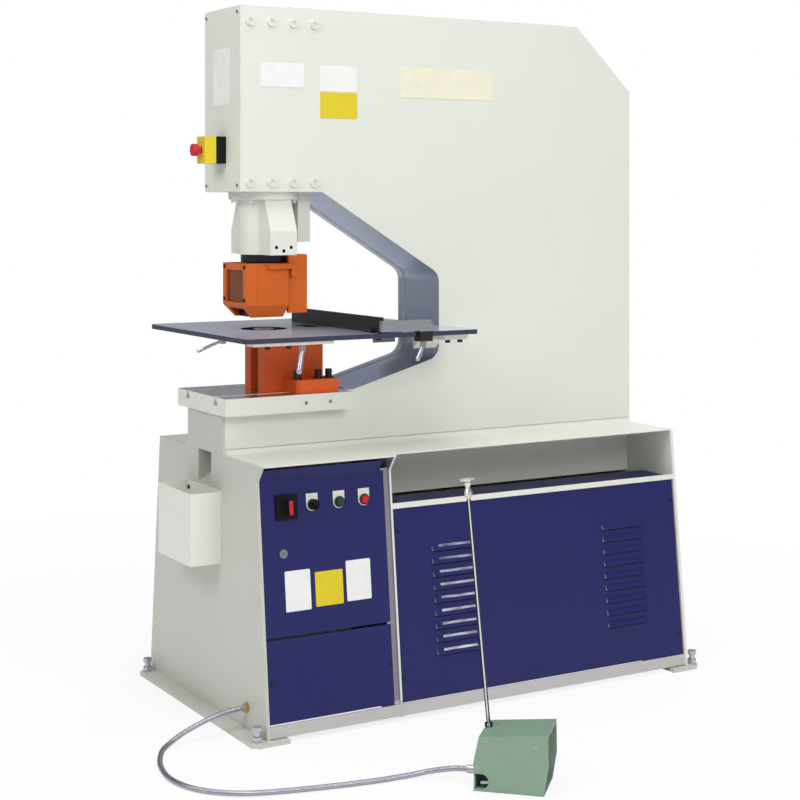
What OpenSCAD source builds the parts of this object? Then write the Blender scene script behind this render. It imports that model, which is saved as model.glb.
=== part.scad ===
// Hydraulic punching machine: a C-frame press on a welded cabinet base, with a foot switch on a hose.
// Millimetres. The origin is on the floor, on the mid-plane, under the cabinet's front plate.
// +X runs from the operator to the rear, -Y is the control side, +Z is up.

/* [Frame] */
// Height of the side plates
frame_h = 1800; // [1720:5:1900]
// Width across both side plates
frame_w = 220; // [210:2:250]
// Thickness of a side plate
plate_t = 30; // [22:1:36]
// Rear edge of the frame and the base
frame_rear = 1292; // [1240:2:1360]
// Front edge of the side plates at the head
head_x = 47; // [42:1:50]
// Daylight between the lower jaw and the head's underside
daylight = 520; // [510:1:535]
// Length along the top of the corner that is cut off at the rear
chamfer_run = 188; // [140:2:240]
// Depth down the rear of the corner that is cut off
chamfer_drop = 179; // [120:1:250]
// Front end of the throat's upper slope
throat_mouth_x = 280; // [278:1:300]
// Back wall of the throat
throat_back = 638; // [636:1:680]
// Height where the upper slope meets the back wall
throat_top_z = 1104; // [1080:2:1130]
// Height where the lower slope meets the back wall
throat_low_z = 880; // [865:1:890]
// Radius of the throat's two corners
throat_r = 42; // [30:1:60]
// Rear end of the lower jaw's flat top
jaw_x = 372; // [365:1:390]
// Thickness of the plate that lines the throat
liner_t = 14; // [8:1:20]
// Thickness of the top and rear web plate
web_t = 12; // [8:1:16]

/* [Head] */
// Axis of the ram along X
ram_x = 163; // [161:1:165]
// Thickness of the head's front cover
cover_t = 3; // [2:0.5:4]
// Half length of the cylinder block along X
block_half = 112; // [108:1:113]
// Diameter of the head bolts' shanks
head_bolt_d = 16; // [12:1:18]
// Radius of the ring flange under the head
flange_r = 92; // [88:1:92]
// Thickness of the ring flange
flange_t = 20; // [14:1:24]
// Radius of the ram's rod
rod_r = 45; // [40:1:46]
// Radius of the piston
piston_r = 65; // [60:1:68]
// Working stroke of the ram
stroke = 55; // [50:1:56]
// Outer radius of the ram housing's barrel
barrel_r = 68; // [64:1:70]
// Share of the drop from the head to the stripper that the ram housing takes
housing_share = 0.4386; // [0.42:0.005:0.445]
// Radius of the coupling nut's flange
nut_r = 60; // [55:1:62]
// Radius of the punch's cutting end
punch_r = 11; // [8:0.5:13]

/* [Stripper] */
// Front face of the stripper guard
guard_x0 = 79; // [76:1:84]
// Rear end of the stripper guard, at the gap before the column
guard_x1 = 202; // [198:1:202]
// Half width of the stripper guard
guard_half = 70; // [68:1:74]
// Share of the drop from the head to the stripper that the guard takes
guard_share = 0.4325; // [0.405:0.005:0.435]
// Gap between the table and the stripper's lowest face
work_gap = 33; // [31:1:37]
// Wall of the stripper guard
guard_t = 6; // [4:0.5:7]
// Width of the stripper column along X
column_w = 54; // [54:1:56]

/* [Die] */
// Front edge of the bolster
bolster_x0 = -15; // [-20:1:-10]
// Rear edge of the bolster
bolster_x1 = 347; // [340:1:360]
// Half width of the bolster
bolster_half = 153; // [146:1:160]
// Height of the bolster's underside
bolster_z = 760; // [750:1:765]
// Thickness of the bolster
bolster_t = 45; // [40:1:50]
// Place of the T-slots each side of the mid-plane
tslot_y = 88; // [84:1:96]
// Front face of the die holder
holder_x0 = 136; // [132:1:138]
// Rear face of the die holder
holder_x1 = 309; // [300:1:316]
// Half width of the die holder
holder_half = 57; // [52:1:62]
// Height of the die holder
holder_h = 149; // [140:1:152]
// Radius of the die
die_r = 27; // [24:0.5:30]

/* [Table] */
// Front edge of the work table
table_x0 = -33; // [-45:1:-25]
// Rear edge of the work table
table_x1 = 633; // [620:1:634]
// Half width of the work table
table_half = 308; // [302:1:320]
// Thickness of the work table
table_t = 12; // [10:0.5:14]
// Radius of the opening round the die
table_hole_r = 62; // [55:1:66]
// Front face of the gauge fence
fence_x = 341; // [335:1:360]
// Height of the gauge fence
fence_h = 40; // [30:1:41]

/* [Base] */
// Height of the deck
deck_z = 659; // [640:1:680]
// Half width of the base at the floor
base_half = 371.5; // [366:0.5:380]
// How far each side leans in between the floor and the deck
flare_in = 68.5; // [56:0.5:80]
// Overhang of the deck over the control side
deck_out = 33; // [27:1:41]
// Thickness of the end plates
end_t = 8; // [6:1:10]
// Place of the divider plate along X
divider_x = 366; // [360:1:378]
// Thickness of the divider plate
divider_t = 6; // [4:1:8]
// Height of the lower edge of the side plates inside the base
wall_z = 520; // [505:1:535]
// Thickness of the foot flanges
foot_t = 10; // [8:1:14]
// Thickness of the cabinet's sheet panels
sheet_t = 3; // [2:0.5:4]
// Height along the slope of the gap between the door and the lower panel
door_s = 247; // [235:1:255]
// Number of louvres in each column
louvre_n = 9; // [5:1:9]

/* [Foot switch] */
// Place of the foot switch along X
pedal_x = 351.5; // [340:0.5:365]
// Place of the foot switch along Y
pedal_y = -886; // [-896:1:-876]
// Width of the foot switch guard
pedal_w = 124; // [110:1:130]
// Height of the foot switch guard at its rear
pedal_h = 120; // [112:1:124]
// Height of the chrome carrying rod above the guard
rod_h = 510; // [450:5:600]

/* [Hidden] */

// Shared finish of curves, clearances and overruns
$fn = 64;
arc_steps = 8;
run_gap = 0.05;
body_gap = 0.3;
bolt_gap = 0.5;
cut = 1;

// Colours
white_paint = [0.87, 0.88, 0.84];
blue_paint = [0.16, 0.17, 0.40];
orange_paint = [0.82, 0.40, 0.12];
bare_steel = [0.60, 0.62, 0.66];
black_steel = [0.10, 0.10, 0.11];
green_paint = [0.50, 0.60, 0.52];
button_red = [0.80, 0.10, 0.18];
button_green = [0.10, 0.35, 0.22];
cover_yellow = [0.88, 0.78, 0.18];
brass = [0.75, 0.60, 0.25];
smoked_clear = [0.45, 0.30, 0.22, 0.55];

// Frame
half_w = frame_w / 2;
inner_half = half_w - plate_t;
jaw_z = bolster_z + bolster_t;
head_z = jaw_z + daylight;
table_z = jaw_z + holder_h + table_t;
chamfer_x = frame_rear - chamfer_run;
chamfer_z = frame_h - chamfer_drop;
base_rear = frame_rear - end_t;
front_x = -5;
plate_x = front_x + end_t;
liner_recess = 2;
throat_path = [
    [throat_mouth_x, head_z], [throat_back, throat_top_z], [throat_back, throat_low_z], [jaw_x, jaw_z]
];
web_path = [[head_x, frame_h], [chamfer_x, frame_h], [frame_rear, chamfer_z], [frame_rear, deck_z]];
lid_t = 3;
lid_margin = 8;
lid_x0 = 186;
lid_back = 44;
lid_x1 = chamfer_x - lid_back;

// Cylinder block, which fills the head, and its bolts in two rows of four on each side
block_top_gap = 3;
block_h = frame_h - web_t - block_top_gap - head_z;
bolt_shares = [-0.83, -0.277, 0.277, 0.83];
bolt_xs = [for (s = bolt_shares) ram_x + s * block_half];
bolt_low = 24;
bolt_zs = [head_z + bolt_low, head_z + block_h - bolt_low];
bolt_r = head_bolt_d / 2;
bolt_head_share = 1.5;
bolt_head_h = 7;
bolt_depth = 38;
socket_share = 0.9;
socket_depth = 4;

// Cylinder, ram and tooling, hung from the head's underside
gland_share = 2 / 23;
gland_h = block_h * gland_share;
end_gap = 5;
piston_share = 3 / 23;
piston_h = block_h * piston_share;
piston_z = head_z + gland_h + end_gap + stroke;
bore_top = piston_z + piston_h + end_gap;
stripper_drop = head_z - table_z - work_gap;
height_step = 0.5;
housing_h = round(stripper_drop * housing_share / height_step) * height_step;
guard_h = stripper_drop * guard_share;
flange_z = head_z - flange_t;
housing_z = flange_z - housing_h;
flange_bolt_r = 5;
flange_bolt_circle = 81;
flange_bolt_angles = [40, 140, 180, 220, 320];
flange_bolt_depth = 14;
flange_head_r = 7;
flange_head_h = 8;
wing_half = 38;
wing_top_y = 85;
wing_low_y = 120;
wing_slope_share = 0.57;
wing_hole_r = 4.5;
wing_hole_depth = 12;
wing_hole_rise = 20;
wing_hole_drop = 9;
wing_hole_pitch = 21;
nut_t = 19;
nut_neck_r = 44;
nut_neck_h = 46;
nut_floor = 14;
nut_gap = 0.5;
nut_z = housing_z - nut_gap - nut_t;
nut_low = nut_z - nut_neck_h;
stub_r = 28;
punch_head_r = 24;
punch_head_h = 11;
punch_shank_r = 15;
punch_tip_h = 40;
stripper_z = head_z - stripper_drop;
punch_rise = 7;
punch_z = stripper_z + punch_rise;
guide_w = 36;
guide_gap = 10;
guide_x = ram_x + barrel_r + guide_gap;
guide_half = 45;
guide_share = 0.4018;
guide_h = stripper_drop * guide_share;

// Stripper: a fixed column and a guard that swings on a pin at its near rear corner
column_gap = 2;
column_x0 = guard_x1 + column_gap;
column_x1 = column_x0 + column_w;
column_in = 5;
column_half = guard_half - column_in;
column_wall = 12;
column_lift = 10;
tongue_y0 = -15;
tongue_t = 9;
tongue_x0 = guide_x - tongue_t;
tongue_share = 0.3681;
tongue_h = stripper_drop * tongue_share;
hinge_pin_r = 5;
hinge_back = 9;
hinge_out = 5;
hinge_x = column_x0 + hinge_back;
hinge_y = -guard_half - hinge_out;
lug_half = 7;
lug_h = 19;
strap_h = 13;
strap_drop = 15;
strap_len = 73;
strap_out = 10;
eye_r = 9;
foot_plate_t = 20;
foot_set = 36;
skirt_h = 31;
skirt_in = 20;
skirt_front = 24;
skirt_rear = 7;
skirt_open = 8;
window_margin = 18;
window_low = 33;
window_t = 3;
window_lap = 8;
frame_lap = 31;
frame_proud = 2;
fork_near = 16.5;
fork_far = 27;
fork_front = 20;

// Die side, stacked on the bolster
table_low = table_z - table_t;
tslot_w = 14;
tslot_neck = 12;
tslot_foot_w = 24;
tslot_foot_h = 10;
slug_hole_r = 30;
side_hole_r = 5;
side_hole_depth = 15;
side_hole_x = 211;
side_hole_pitch = 70;
channel_half = 22;
channel_len = 64;
crown_h = 26;
crown_out = 10;
die_seat = 28;
die_land = 8;
die_gap = 0.3;
die_relief = 3;
die_h = die_seat + table_t;
slug_bore_r = 20;
toe_x0 = 193;
toe_x1 = 312;
toe_y = 140;
toe_h = 35;
toe_chamfer = 7;
toe_bolt_y = 108;
toe_bolt_steps = [14, 75, 106];
toe_bolt_xs = [for (d = toe_bolt_steps) toe_x0 + d];
toe_bolt_r = 7;
toe_head_r = 9;
toe_head_h = 20;
washer_r = 14;
washer_t = 3;
toe_bolt_depth = 20;

// Work table and its supports
table_corner_r = 20;
table_slot_x = 306;
table_slot_y = 30;
table_slot_r = 22;
table_slot_len = 50;
rail_x0 = -10;
rail_x1 = 212;
rail_in = 46;
rail_y = table_half - rail_in;
rail_w = 38;
rail_t = 8;
rail_bolt_xs = [38, 96];
rail_mid = rail_y + rail_w / 2;
small_bolt_r = 5;
small_head_r = 7;
small_head_h = 9;
small_bolt_up = 6;
bracket_x0 = 556;
bracket_x1 = 628;
bracket_in = 38;
bracket_y = table_half - bracket_in;
bracket_t = 16;
bracket_leg = 34;
bracket_leg_y = 40;
bracket_bolt_in = 58;
bracket_bolt_y = table_half - bracket_bolt_in;
bracket_bolt_xs = [578, 616];
far_bracket_y = 146;
far_bolt_y = 128;
far_leg_y = 10;
bracket_bolts = [for (x = bracket_bolt_xs, y = [-bracket_bolt_y, far_bolt_y]) [x, y]];
stub_share = 0.5162;
stub_screws = [[27, table_half * stub_share], [370, -bracket_bolt_y]];

// Clamp levers: a hub on a stud, with a slanted arm and a ball end
stud_r = 4;
stud_up = 7;
hub_r = 8;
hub_h = 18;
lever_near_r = 6.5;
lever_front_r = 3.5;
gauge_lever_r = 5;
arm_flare = 1;
lever_near_at = [134, -rail_mid];
lever_near_arm = 58;
lever_near_tilt = 165;
lever_near_turn = 210;
lever_front_at = [22, -53];
lever_front_arm = 72;
lever_front_tilt = 110;
lever_front_turn = 180;
gauge_lever_arm = 40;
gauge_lever_tilt = 155;
gauge_lever_turn = 180;

// Back gauge: a fence across the table on a carriage that clamps the near table edge
fence_t = 12;
fence_short = 118;
fence_far = table_half - fence_short;
fence_foot_w = 16;
fence_foot_h = 5;
stop_front = 9;
stop_len = 92;
stop_in = 30;
stop_w = 34;
stop_h = 12;
carriage_in = 4;
carriage_y = table_half - carriage_in;
carriage_t = 14;
carriage_z = 4;
carriage_h = 28;
carriage_bevel = 8;
fence_to_clamp = 111;
clamp_x0 = fence_x + fence_to_clamp;
clamp_w = 38;
clamp_in = 20;
clamp_rise = 24;
clamp_drop = 12;
clamp_slot_y = table_half + body_gap;

// Base: the panel planes lean by the flare angle
deck_half = base_half - flare_in;
deck_front_y = deck_half + deck_out;
flare = atan(flare_in / deck_z);
return_drop = 39;
return_z = deck_z - return_drop;
deck_t = 3;
deck_step = 18;
cove_r = 14;
cove_w = cove_r;
column_fillet = 20;
chute_half = 40.5;
chute_z0 = 577;
chute_h = 81;
chute_lip = 26;
chute_t = 5;
chute_run = 232;
chute_rise = 150;
rail_s0 = 524;
rail_s1 = 538;
rail_plate_t = 3.5;
rail_set = 0.5;
skirt_s = 41;
skirt_t = 6;
skirt_lift = 1.5;
jamb_w = 14;
jamb_y = skirt_t;
foot_front = 48;
foot_back = 49;
foot_rear_in = 62;
foot_rear_out = 34;
foot_chamfer = 30;
foot_out = 14;
near_chamfer = 15;
foot_near = base_half + foot_out;
level_inset = 20;
level_in = 24;
level_far = 36;
level_r = 8;
level_top = 36;
level_head_h = 10;
level_hex_r = 12.5;
level_nut_h = 13;

// Door, panels and what sits on them, in the sloping plane: x, s up the slope, y inwards
panel_gap = 2;
door_x0 = plate_x + panel_gap;
door_x1 = 349;
door_y = 1.5;
door_s1 = return_z / cos(flare);
fold_len = 32;
fold_angle = 31;
fold_trim = 17;
fold_tip = 4;
fold_set = 0.5;
pan_depth = 14;
rib_x = plate_x + jamb_w + panel_gap;
hinge_edge = 4;
hinge_pin_x = door_x1 - hinge_edge;
hinge_pin_y = door_y + hinge_edge;
door_pin_r = 2.5;
door_tab = 16;
door_tab_y = 10;
hinge_lug_t = 5;
lower_s0 = 45;
seam = 6;
pump_x0 = divider_x + divider_t + panel_gap;
pump_y = 4;
pump_s1 = 532;
pump_shelf = 125;
louvre_len = 135;
louvre_h = 19;
louvre_out = 8;
louvre_slot = 4;
louvre_pitch = 32.7;
louvre_s0 = 143;
louvre_xs = [483, 1027];
control_s = 557;
isolator_x = 72.7;
isolator_w = 58.5;
isolator_hh = 60;
isolator_t = 6;
isolator_hub_r = 9;
handle_w = 13;
handle_len = 38;
handle_t = 24;
control_xs = [144, 219, 290];
bezel_r = 13.5;
bezel_h = 7;
legend_w = 32;
legend_up = 27;
legend_t = 1.5;
button_r = 9.5;
button_out = 10;
button_back = 12;
selector_r = 8;
selector_knob_r = 13;
selector_knob_h = 9;
selector_ridge_w = 7;
selector_ridge_h = 7;
selector_rest = -45;
lock_x = 59;
lock_s = 445;
lock_r = 11;
lock_out = 4;
key_w = 3;
key_len = 10;
key_depth = 3;
lock_back = 14;
cam_w = 14;
cam_len = 48;
cam_t = 3;

// Emergency stop on the head's front cover
estop_rise = 108;
estop_z = head_z + estop_rise;
estop_w = 50;
estop_hh = 70;
estop_base_t = 28;
estop_cover_t = 32;
estop_stem_r = 9;
estop_stem_len = 10;
estop_stem_in = 12;
estop_cap_r = 16;
estop_cap_t = 14;

// Oil tank and power unit inside the pump bay
tank_x0 = 400;
tank_x1 = 880;
tank_in = 86.5;
tank_y0 = base_half - tank_in;
tank_y1 = 128;
tank_top = 440;
sub_z = 46;
sub_t = 8;
sub_in = 26.5;
sub_y = base_half - sub_in;
motor_x0 = 930;
motor_len = 240;
motor_r = 80;
motor_in = 156.5;
motor_y = base_half - motor_in;
motor_lift = 24;
motor_rib = 8;
pump_r = 45;
pump_len = 34;
foot_block = 110;

// Slug box hung on the front plate
slug_x = 85;
slug_half = 105;
slug_z0 = 385;
slug_z1 = 567;
slug_t = 2.5;

// Hose and its fittings
hose_r = 6.5;
hose_sides = 10;
gland_y = -257;
gland_z = 62;
gland_hex_r = 13;
gland_hex_t = 8;
gland_ring_r = 9;
gland_ring_t = 9;
hose_route = [
    [-22, -257, 62], [-53, -257, 60], [-85, -256, 54], [-114, -253, 45], [-142, -250, 34], [-168, -249, 24],
    [-192, -254, 15], [-216, -268, 9], [-240, -292, 7], [-258, -322, 6.5], [-274, -356, 6.5],
    [-287, -392, 6.5], [-296, -430, 6.5], [-301, -468, 6.5], [-299, -506, 6.5], [-291, -542, 6.5],
    [-276, -576, 6.5], [-254, -606, 6.5], [-226, -632, 6.5], [-190, -655, 6.5], [-148, -672, 6.5],
    [-100, -687, 6.5], [-72, -694, 6.5], [-46, -701, 6.5], [-14, -708, 6.5], [18, -715, 6.5],
    [50, -721, 6.5], [84, -727, 6.5],
    [118, -731, 6.5], [150, -733, 6.5], [178, -740, 8.5], [203, -751, 13], [222, -768, 19], [239, -787, 24.5],
    [255, -805, 28.5]
];

// Foot switch, in its own turned frame: x towards its mouth
pedal_turn = -44.5;
pedal_t = 3;
pedal_rear = 78;
pedal_front = 79;
pedal_bow = 10;
pedal_lean = 12;
pedal_top_front = 9;
pedal_rise = 14;
pedal_mid_share = 0.52;
notch_x = 44;
notch_r = 16;
notch_z = 6;
pedal_floor = 4;
treadle_pin_r = 4;
treadle_x = 36;
treadle_z = 12;
treadle_back = 32;
treadle_len = 106;
treadle_lip = 14;
pin_seat = 1.5;
treadle_t = 6;
treadle_gap = 5;
treadle_tilt = 6;
fitting_y = -12;
fitting_z = 30;
fitting_len = 24;
fitting_r = 9;
fitting_nut_r = 12;
fitting_nut_t = 8;
rod_at = [-58, 12];
chrome_rod_r = 4.5;
rod_lean_x = -39;
rod_lean_y = 23;
rod_nut_r = 9;
rod_nut_h = 7;
rod_inside = 30;
knob_h = 41;
knob_top_r = 17;
knob_neck_r = 5.5;
knob_ball_r = 9.5;
knob_shares = [0.15, 0.3, 0.48, 0.6, 0.82, 0.93];
hose_end = [
    pedal_x - (pedal_rear + fitting_len) * cos(pedal_turn) - fitting_y * sin(pedal_turn),
    pedal_y - (pedal_rear + fitting_len) * sin(pedal_turn) + fitting_y * cos(pedal_turn),
    fitting_z
];
hose_points = concat(hose_route, [hose_end]);

// Geometry helpers
function unit(v) = v / norm(v);
function left_of(v) = [-v.y, v.x];

// Points of the arc of radius r that rounds corner b between a and c
function corner_arc(a, b, c, r) =
    let (u = unit(a - b), v = unit(c - b), half = acos(u * v) / 2,
         centre = b + unit(u + v) * r / sin(half),
         from = b + u * r / tan(half) - centre,
         to = b + v * r / tan(half) - centre,
         start = atan2(from.y, from.x),
         turn = atan2(from.x * to.y - from.y * to.x, from * to))
    [for (i = [0:arc_steps]) let (a = start + turn * i / arc_steps) centre + r * [cos(a), sin(a)]];

// An open path with its inner corners rounded
function rounded_path(p, r) =
    [for (i = [0:len(p) - 1])
        for (q = (i == 0 || i == len(p) - 1) ? [p[i]] : corner_arc(p[i - 1], p[i], p[i + 1], r)) q];

// An open path moved sideways by d, to its left where d is positive, with mitred corners
function shifted(p, d) =
    [for (i = [0:len(p) - 1])
        let (n1 = left_of(unit(p[max(i, 1)] - p[max(i, 1) - 1])),
             k = min(i, len(p) - 2),
             n2 = left_of(unit(p[k + 1] - p[k])))
        p[i] + d * (n1 + n2) / (1 + n1 * n2)];

function reversed(p) = [for (i = [len(p) - 1:-1:0]) p[i]];

// Half width of the sloping panels at height z
function flare_y(z) = base_half - z * tan(flare);

// A block between two corners
module block(low, high) translate(low) cube(high - low);

// An outline in X and Z, given a thickness along Y from y0 to y1
module across(y0, y1) translate([0, y1, 0]) rotate([90, 0, 0]) linear_extrude(y1 - y0) children();

// An outline in Y and Z, given a thickness along X from x0 to x1
module along(x0, x1) translate([x0, 0, 0]) rotate([90, 0, 90]) linear_extrude(x1 - x0) children();

// The near sloping plane: x along the machine, y inwards, z up the slope
module on_slope() translate([0, -base_half, 0]) rotate([-flare, 0, 0]) children();

// The same plane with a part's axis pointing inwards at x, s
module at_panel(x, s) on_slope() translate([x, 0, s]) rotate([-90, 0, 0]) children();

// A round bolt along -Z from its head's seat at the origin, with a hexagon socket
module socket_screw(r, length, head_r, head_h) {
    translate([0, 0, -length]) cylinder(r = r, h = length);
    difference() {
        cylinder(r = head_r, h = head_h);
        translate([0, 0, head_h - min(socket_depth, head_h / 2)])
            cylinder(r = r * socket_share, h = head_h, $fn = 6);
    }
}

// Frame
module frame_outline() {
    polygon(concat(
        [[head_x, head_z], [head_x, frame_h], [chamfer_x, frame_h], [frame_rear, chamfer_z],
         [frame_rear, deck_z], [base_rear, deck_z], [base_rear, wall_z], [plate_x, wall_z],
         [plate_x, bolster_z],
         [bolster_x1, bolster_z], [bolster_x1, jaw_z]],
        reversed(rounded_path(throat_path, throat_r))));
}

module side_plate() {
    difference() {
        frame_outline();
        for (x = bolt_xs, z = bolt_zs) translate([x, z]) circle(r = bolt_r + bolt_gap);
    }
}

module side_plate_near() color(white_paint) across(-half_w, -inner_half) side_plate();

module side_plate_far() color(white_paint) across(inner_half, half_w) side_plate();

module throat_liner() {
    face = rounded_path(shifted(throat_path, liner_recess), throat_r + liner_recess);
    back = rounded_path(shifted(throat_path, liner_recess + liner_t), throat_r + liner_recess + liner_t);
    color(bare_steel) across(-inner_half, inner_half) polygon(concat(face, reversed(back)));
}

module frame_web() {
    color(white_paint) across(-inner_half, inner_half)
        polygon(concat(web_path, reversed(shifted(web_path, -web_t))));
}

module top_cover() {
    color(white_paint)
        block([lid_x0, -half_w + lid_margin, frame_h], [lid_x1, half_w - lid_margin, frame_h + lid_t]);
}

module head_front_cover() {
    color(white_paint) block([head_x - cover_t, -half_w, head_z], [head_x, half_w, frame_h]);
}

module cylinder_block() {
    color(bare_steel) difference() {
        block([ram_x - block_half, -inner_half, head_z], [ram_x + block_half, inner_half, head_z + block_h]);
        translate([ram_x, 0, head_z - cut]) cylinder(r = rod_r + run_gap, h = gland_h + 2 * cut);
        translate([ram_x, 0, head_z + gland_h])
            cylinder(r = piston_r + run_gap, h = bore_top - head_z - gland_h);
        for (x = bolt_xs, z = bolt_zs, side = [-1, 1])
            translate([x, side * (inner_half + cut), z]) rotate([side * 90, 0, 0])
                cylinder(r = bolt_r + bolt_gap, h = bolt_depth + 2 * cut);
        for (a = flange_bolt_angles)
            translate([ram_x, 0, head_z - cut]) rotate(a) translate([flange_bolt_circle, 0, 0])
                cylinder(r = flange_bolt_r + bolt_gap, h = flange_bolt_depth + cut);
    }
}

module head_bolts() {
    color(white_paint) {
        for (x = bolt_xs, z = bolt_zs, side = [-1, 1])
            translate([x, side * half_w, z]) rotate([-side * 90, 0, 0])
                socket_screw(bolt_r, plate_t + bolt_depth, bolt_r * bolt_head_share, bolt_head_h);
        for (a = flange_bolt_angles)
            translate([ram_x, 0, flange_z]) rotate([180, 0, a]) translate([flange_bolt_circle, 0, 0])
                socket_screw(flange_bolt_r, flange_t + flange_bolt_depth - cut, flange_head_r, flange_head_h);
    }
}

module ring_flange() {
    color(white_paint) translate([ram_x, 0, flange_z]) difference() {
        cylinder(r = flange_r, h = flange_t);
        translate([0, 0, -cut]) cylinder(r = rod_r + run_gap, h = flange_t + 2 * cut);
        for (a = flange_bolt_angles) rotate(a) translate([flange_bolt_circle, 0, -cut])
            cylinder(r = flange_bolt_r + bolt_gap, h = flange_t + 2 * cut);
        block([guide_x - ram_x, -flange_r, -cut], [flange_r + cut, flange_r, flange_t + cut]);
    }
}

module ram_housing() {
    slope_z = flange_z - housing_h * wing_slope_share;
    color(white_paint) difference() {
        union() {
            translate([ram_x, 0, housing_z]) cylinder(r = barrel_r, h = housing_h);
            along(ram_x - wing_half, ram_x + wing_half)
                polygon([[-wing_top_y, flange_z], [wing_top_y, flange_z], [wing_low_y, slope_z],
                         [wing_low_y, housing_z], [-wing_low_y, housing_z], [-wing_low_y, slope_z]]);
        }
        translate([ram_x, 0, housing_z - cut]) cylinder(r = rod_r + run_gap, h = housing_h + 2 * cut);
        for (k = [-1, 0, 1])
            translate([ram_x + k * wing_hole_pitch, -wing_low_y - cut,
                       housing_z + wing_hole_rise - (1 - abs(k)) * wing_hole_drop])
                rotate([-90, 0, 0]) cylinder(r = wing_hole_r, h = wing_hole_depth + cut);
    }
}

module guide_plate() {
    color(white_paint)
        block([guide_x, -guide_half, head_z - guide_h], [guide_x + guide_w, guide_half, head_z]);
}

module ram() {
    color(bare_steel) translate([ram_x, 0, 0]) {
        translate([0, 0, piston_z]) cylinder(r = piston_r, h = piston_h);
        translate([0, 0, nut_z + nut_t]) cylinder(r = rod_r, h = piston_z - nut_z - nut_t);
        translate([0, 0, nut_low + nut_floor + punch_head_h])
            cylinder(r = stub_r, h = nut_z + nut_t - nut_low - nut_floor - punch_head_h);
    }
}

module coupling_nut() {
    color(black_steel) translate([ram_x, 0, 0]) difference() {
        union() {
            translate([0, 0, nut_z]) cylinder(r = nut_r, h = nut_t);
            translate([0, 0, nut_low]) cylinder(r = nut_neck_r, h = nut_neck_h);
        }
        translate([0, 0, nut_low + nut_floor]) cylinder(r = stub_r + run_gap, h = nut_neck_h + nut_t);
        translate([0, 0, nut_low - cut]) cylinder(r = punch_shank_r + run_gap, h = nut_floor + 2 * cut);
    }
}

module punch() {
    color(bare_steel) translate([ram_x, 0, 0]) {
        translate([0, 0, nut_low + nut_floor]) cylinder(r = punch_head_r, h = punch_head_h);
        translate([0, 0, punch_z + punch_tip_h])
            cylinder(r = punch_shank_r, h = nut_low + nut_floor - punch_z - punch_tip_h);
        translate([0, 0, punch_z]) cylinder(r = punch_r, h = punch_tip_h);
    }
}

// Stripper
strap_z = stripper_z + guard_h - strap_drop;
lug_z = strap_z - body_gap - lug_h;

module stripper_column() {
    low = stripper_z + column_lift;
    top = housing_z;
    color(orange_paint) {
        difference() {
            union() {
                block([column_x0, -column_half, low], [column_x1, column_half, top]);
                block([tongue_x0, tongue_y0, top - cut], [guide_x, guide_half, top + tongue_h]);
                block([hinge_x - lug_half, hinge_y - lug_half, lug_z],
                      [hinge_x + lug_half, -column_half, lug_z + lug_h]);
            }
            block([column_x0 - cut, column_wall - column_half, low - cut],
                  [column_x1 - column_wall, column_half - column_wall, top + cut]);
        }
        block([tongue_x0, tongue_y0, top - column_wall], [column_x1, guide_half, top]);
        translate([hinge_x, hinge_y, lug_z + lug_h]) cylinder(r = hinge_pin_r, h = strap_h + body_gap);
    }
}

// The guard's outline seen from above, drawn in at its front, its sides and its rear
module guard_plan(front, side, rear) {
    translate([guard_x0 + front, -guard_half + side])
        square([guard_x1 - guard_x0 - front - rear, 2 * (guard_half - side)]);
}

// The skirt that tapers to the stripper's lowest face, drawn in by an amount, open at its rear by an overrun
module guard_skirt(inset, more, skin) {
    hull() {
        translate([0, 0, stripper_z + skirt_h]) linear_extrude(skin) guard_plan(inset, inset, -more);
        translate([0, 0, stripper_z - more]) linear_extrude(skin)
            guard_plan(inset + skirt_front, inset + skirt_in, more > 0 ? -more : skirt_rear);
    }
}

// The guard's straight part over its skirt
module guard_shell(inset, more, skin) {
    translate([0, 0, stripper_z + skirt_h]) linear_extrude(guard_h - skirt_h + more)
        guard_plan(inset, inset, -more);
    guard_skirt(inset, more, skin);
}

module stripper_guard() {
    top = stripper_z + guard_h;
    window_half = guard_half - window_margin;
    foot_half = guard_half - skirt_in - guard_t;
    color(orange_paint) difference() {
        union() {
            guard_shell(0, 0, run_gap);
            block([guard_x0, -guard_half - frame_proud, stripper_z + skirt_h],
                  [guard_x0 + frame_lap, guard_half + frame_proud, top]);
            block([hinge_x - strap_len, hinge_y - strap_out / 2, strap_z],
                  [hinge_x, -guard_half, strap_z + strap_h]);
            translate([hinge_x, hinge_y, strap_z]) cylinder(r = eye_r, h = strap_h);
        }
        guard_shell(guard_t, cut, run_gap);
        block([guard_x0 - cut, -foot_half, stripper_z - cut],
              [guard_x0 + foot_set, foot_half, stripper_z + skirt_h - skirt_open]);
        block([guard_x1, -column_half, stripper_z], [hinge_x + eye_r + cut, column_half, top + cut]);
        block([guard_x0 - cut, -window_half, stripper_z + window_low + guard_t],
              [guard_x0 + guard_t + cut, window_half, top - window_margin]);
        translate([hinge_x, hinge_y, strap_z - cut])
            cylinder(r = hinge_pin_r + run_gap, h = strap_h + 2 * cut);
    }
}

module stripper_window() {
    top = stripper_z + guard_h;
    window_half = guard_half - window_margin + window_lap;
    color(smoked_clear)
        block([guard_x0 + guard_t, -window_half, stripper_z + window_low],
              [guard_x0 + guard_t + window_t, window_half, top - window_margin + window_lap]);
}

module stripper_foot() {
    color(black_steel) difference() {
        intersection() {
            guard_skirt(guard_t + run_gap, cut, run_gap);
            block([guard_x0 + foot_set, -guard_half, stripper_z],
                  [guard_x1 - skirt_rear, guard_half, stripper_z + foot_plate_t]);
        }
        block([ram_x - fork_front, -fork_near, stripper_z - cut],
              [guard_x1 + cut, fork_far, stripper_z + foot_plate_t + cut]);
    }
}

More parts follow.
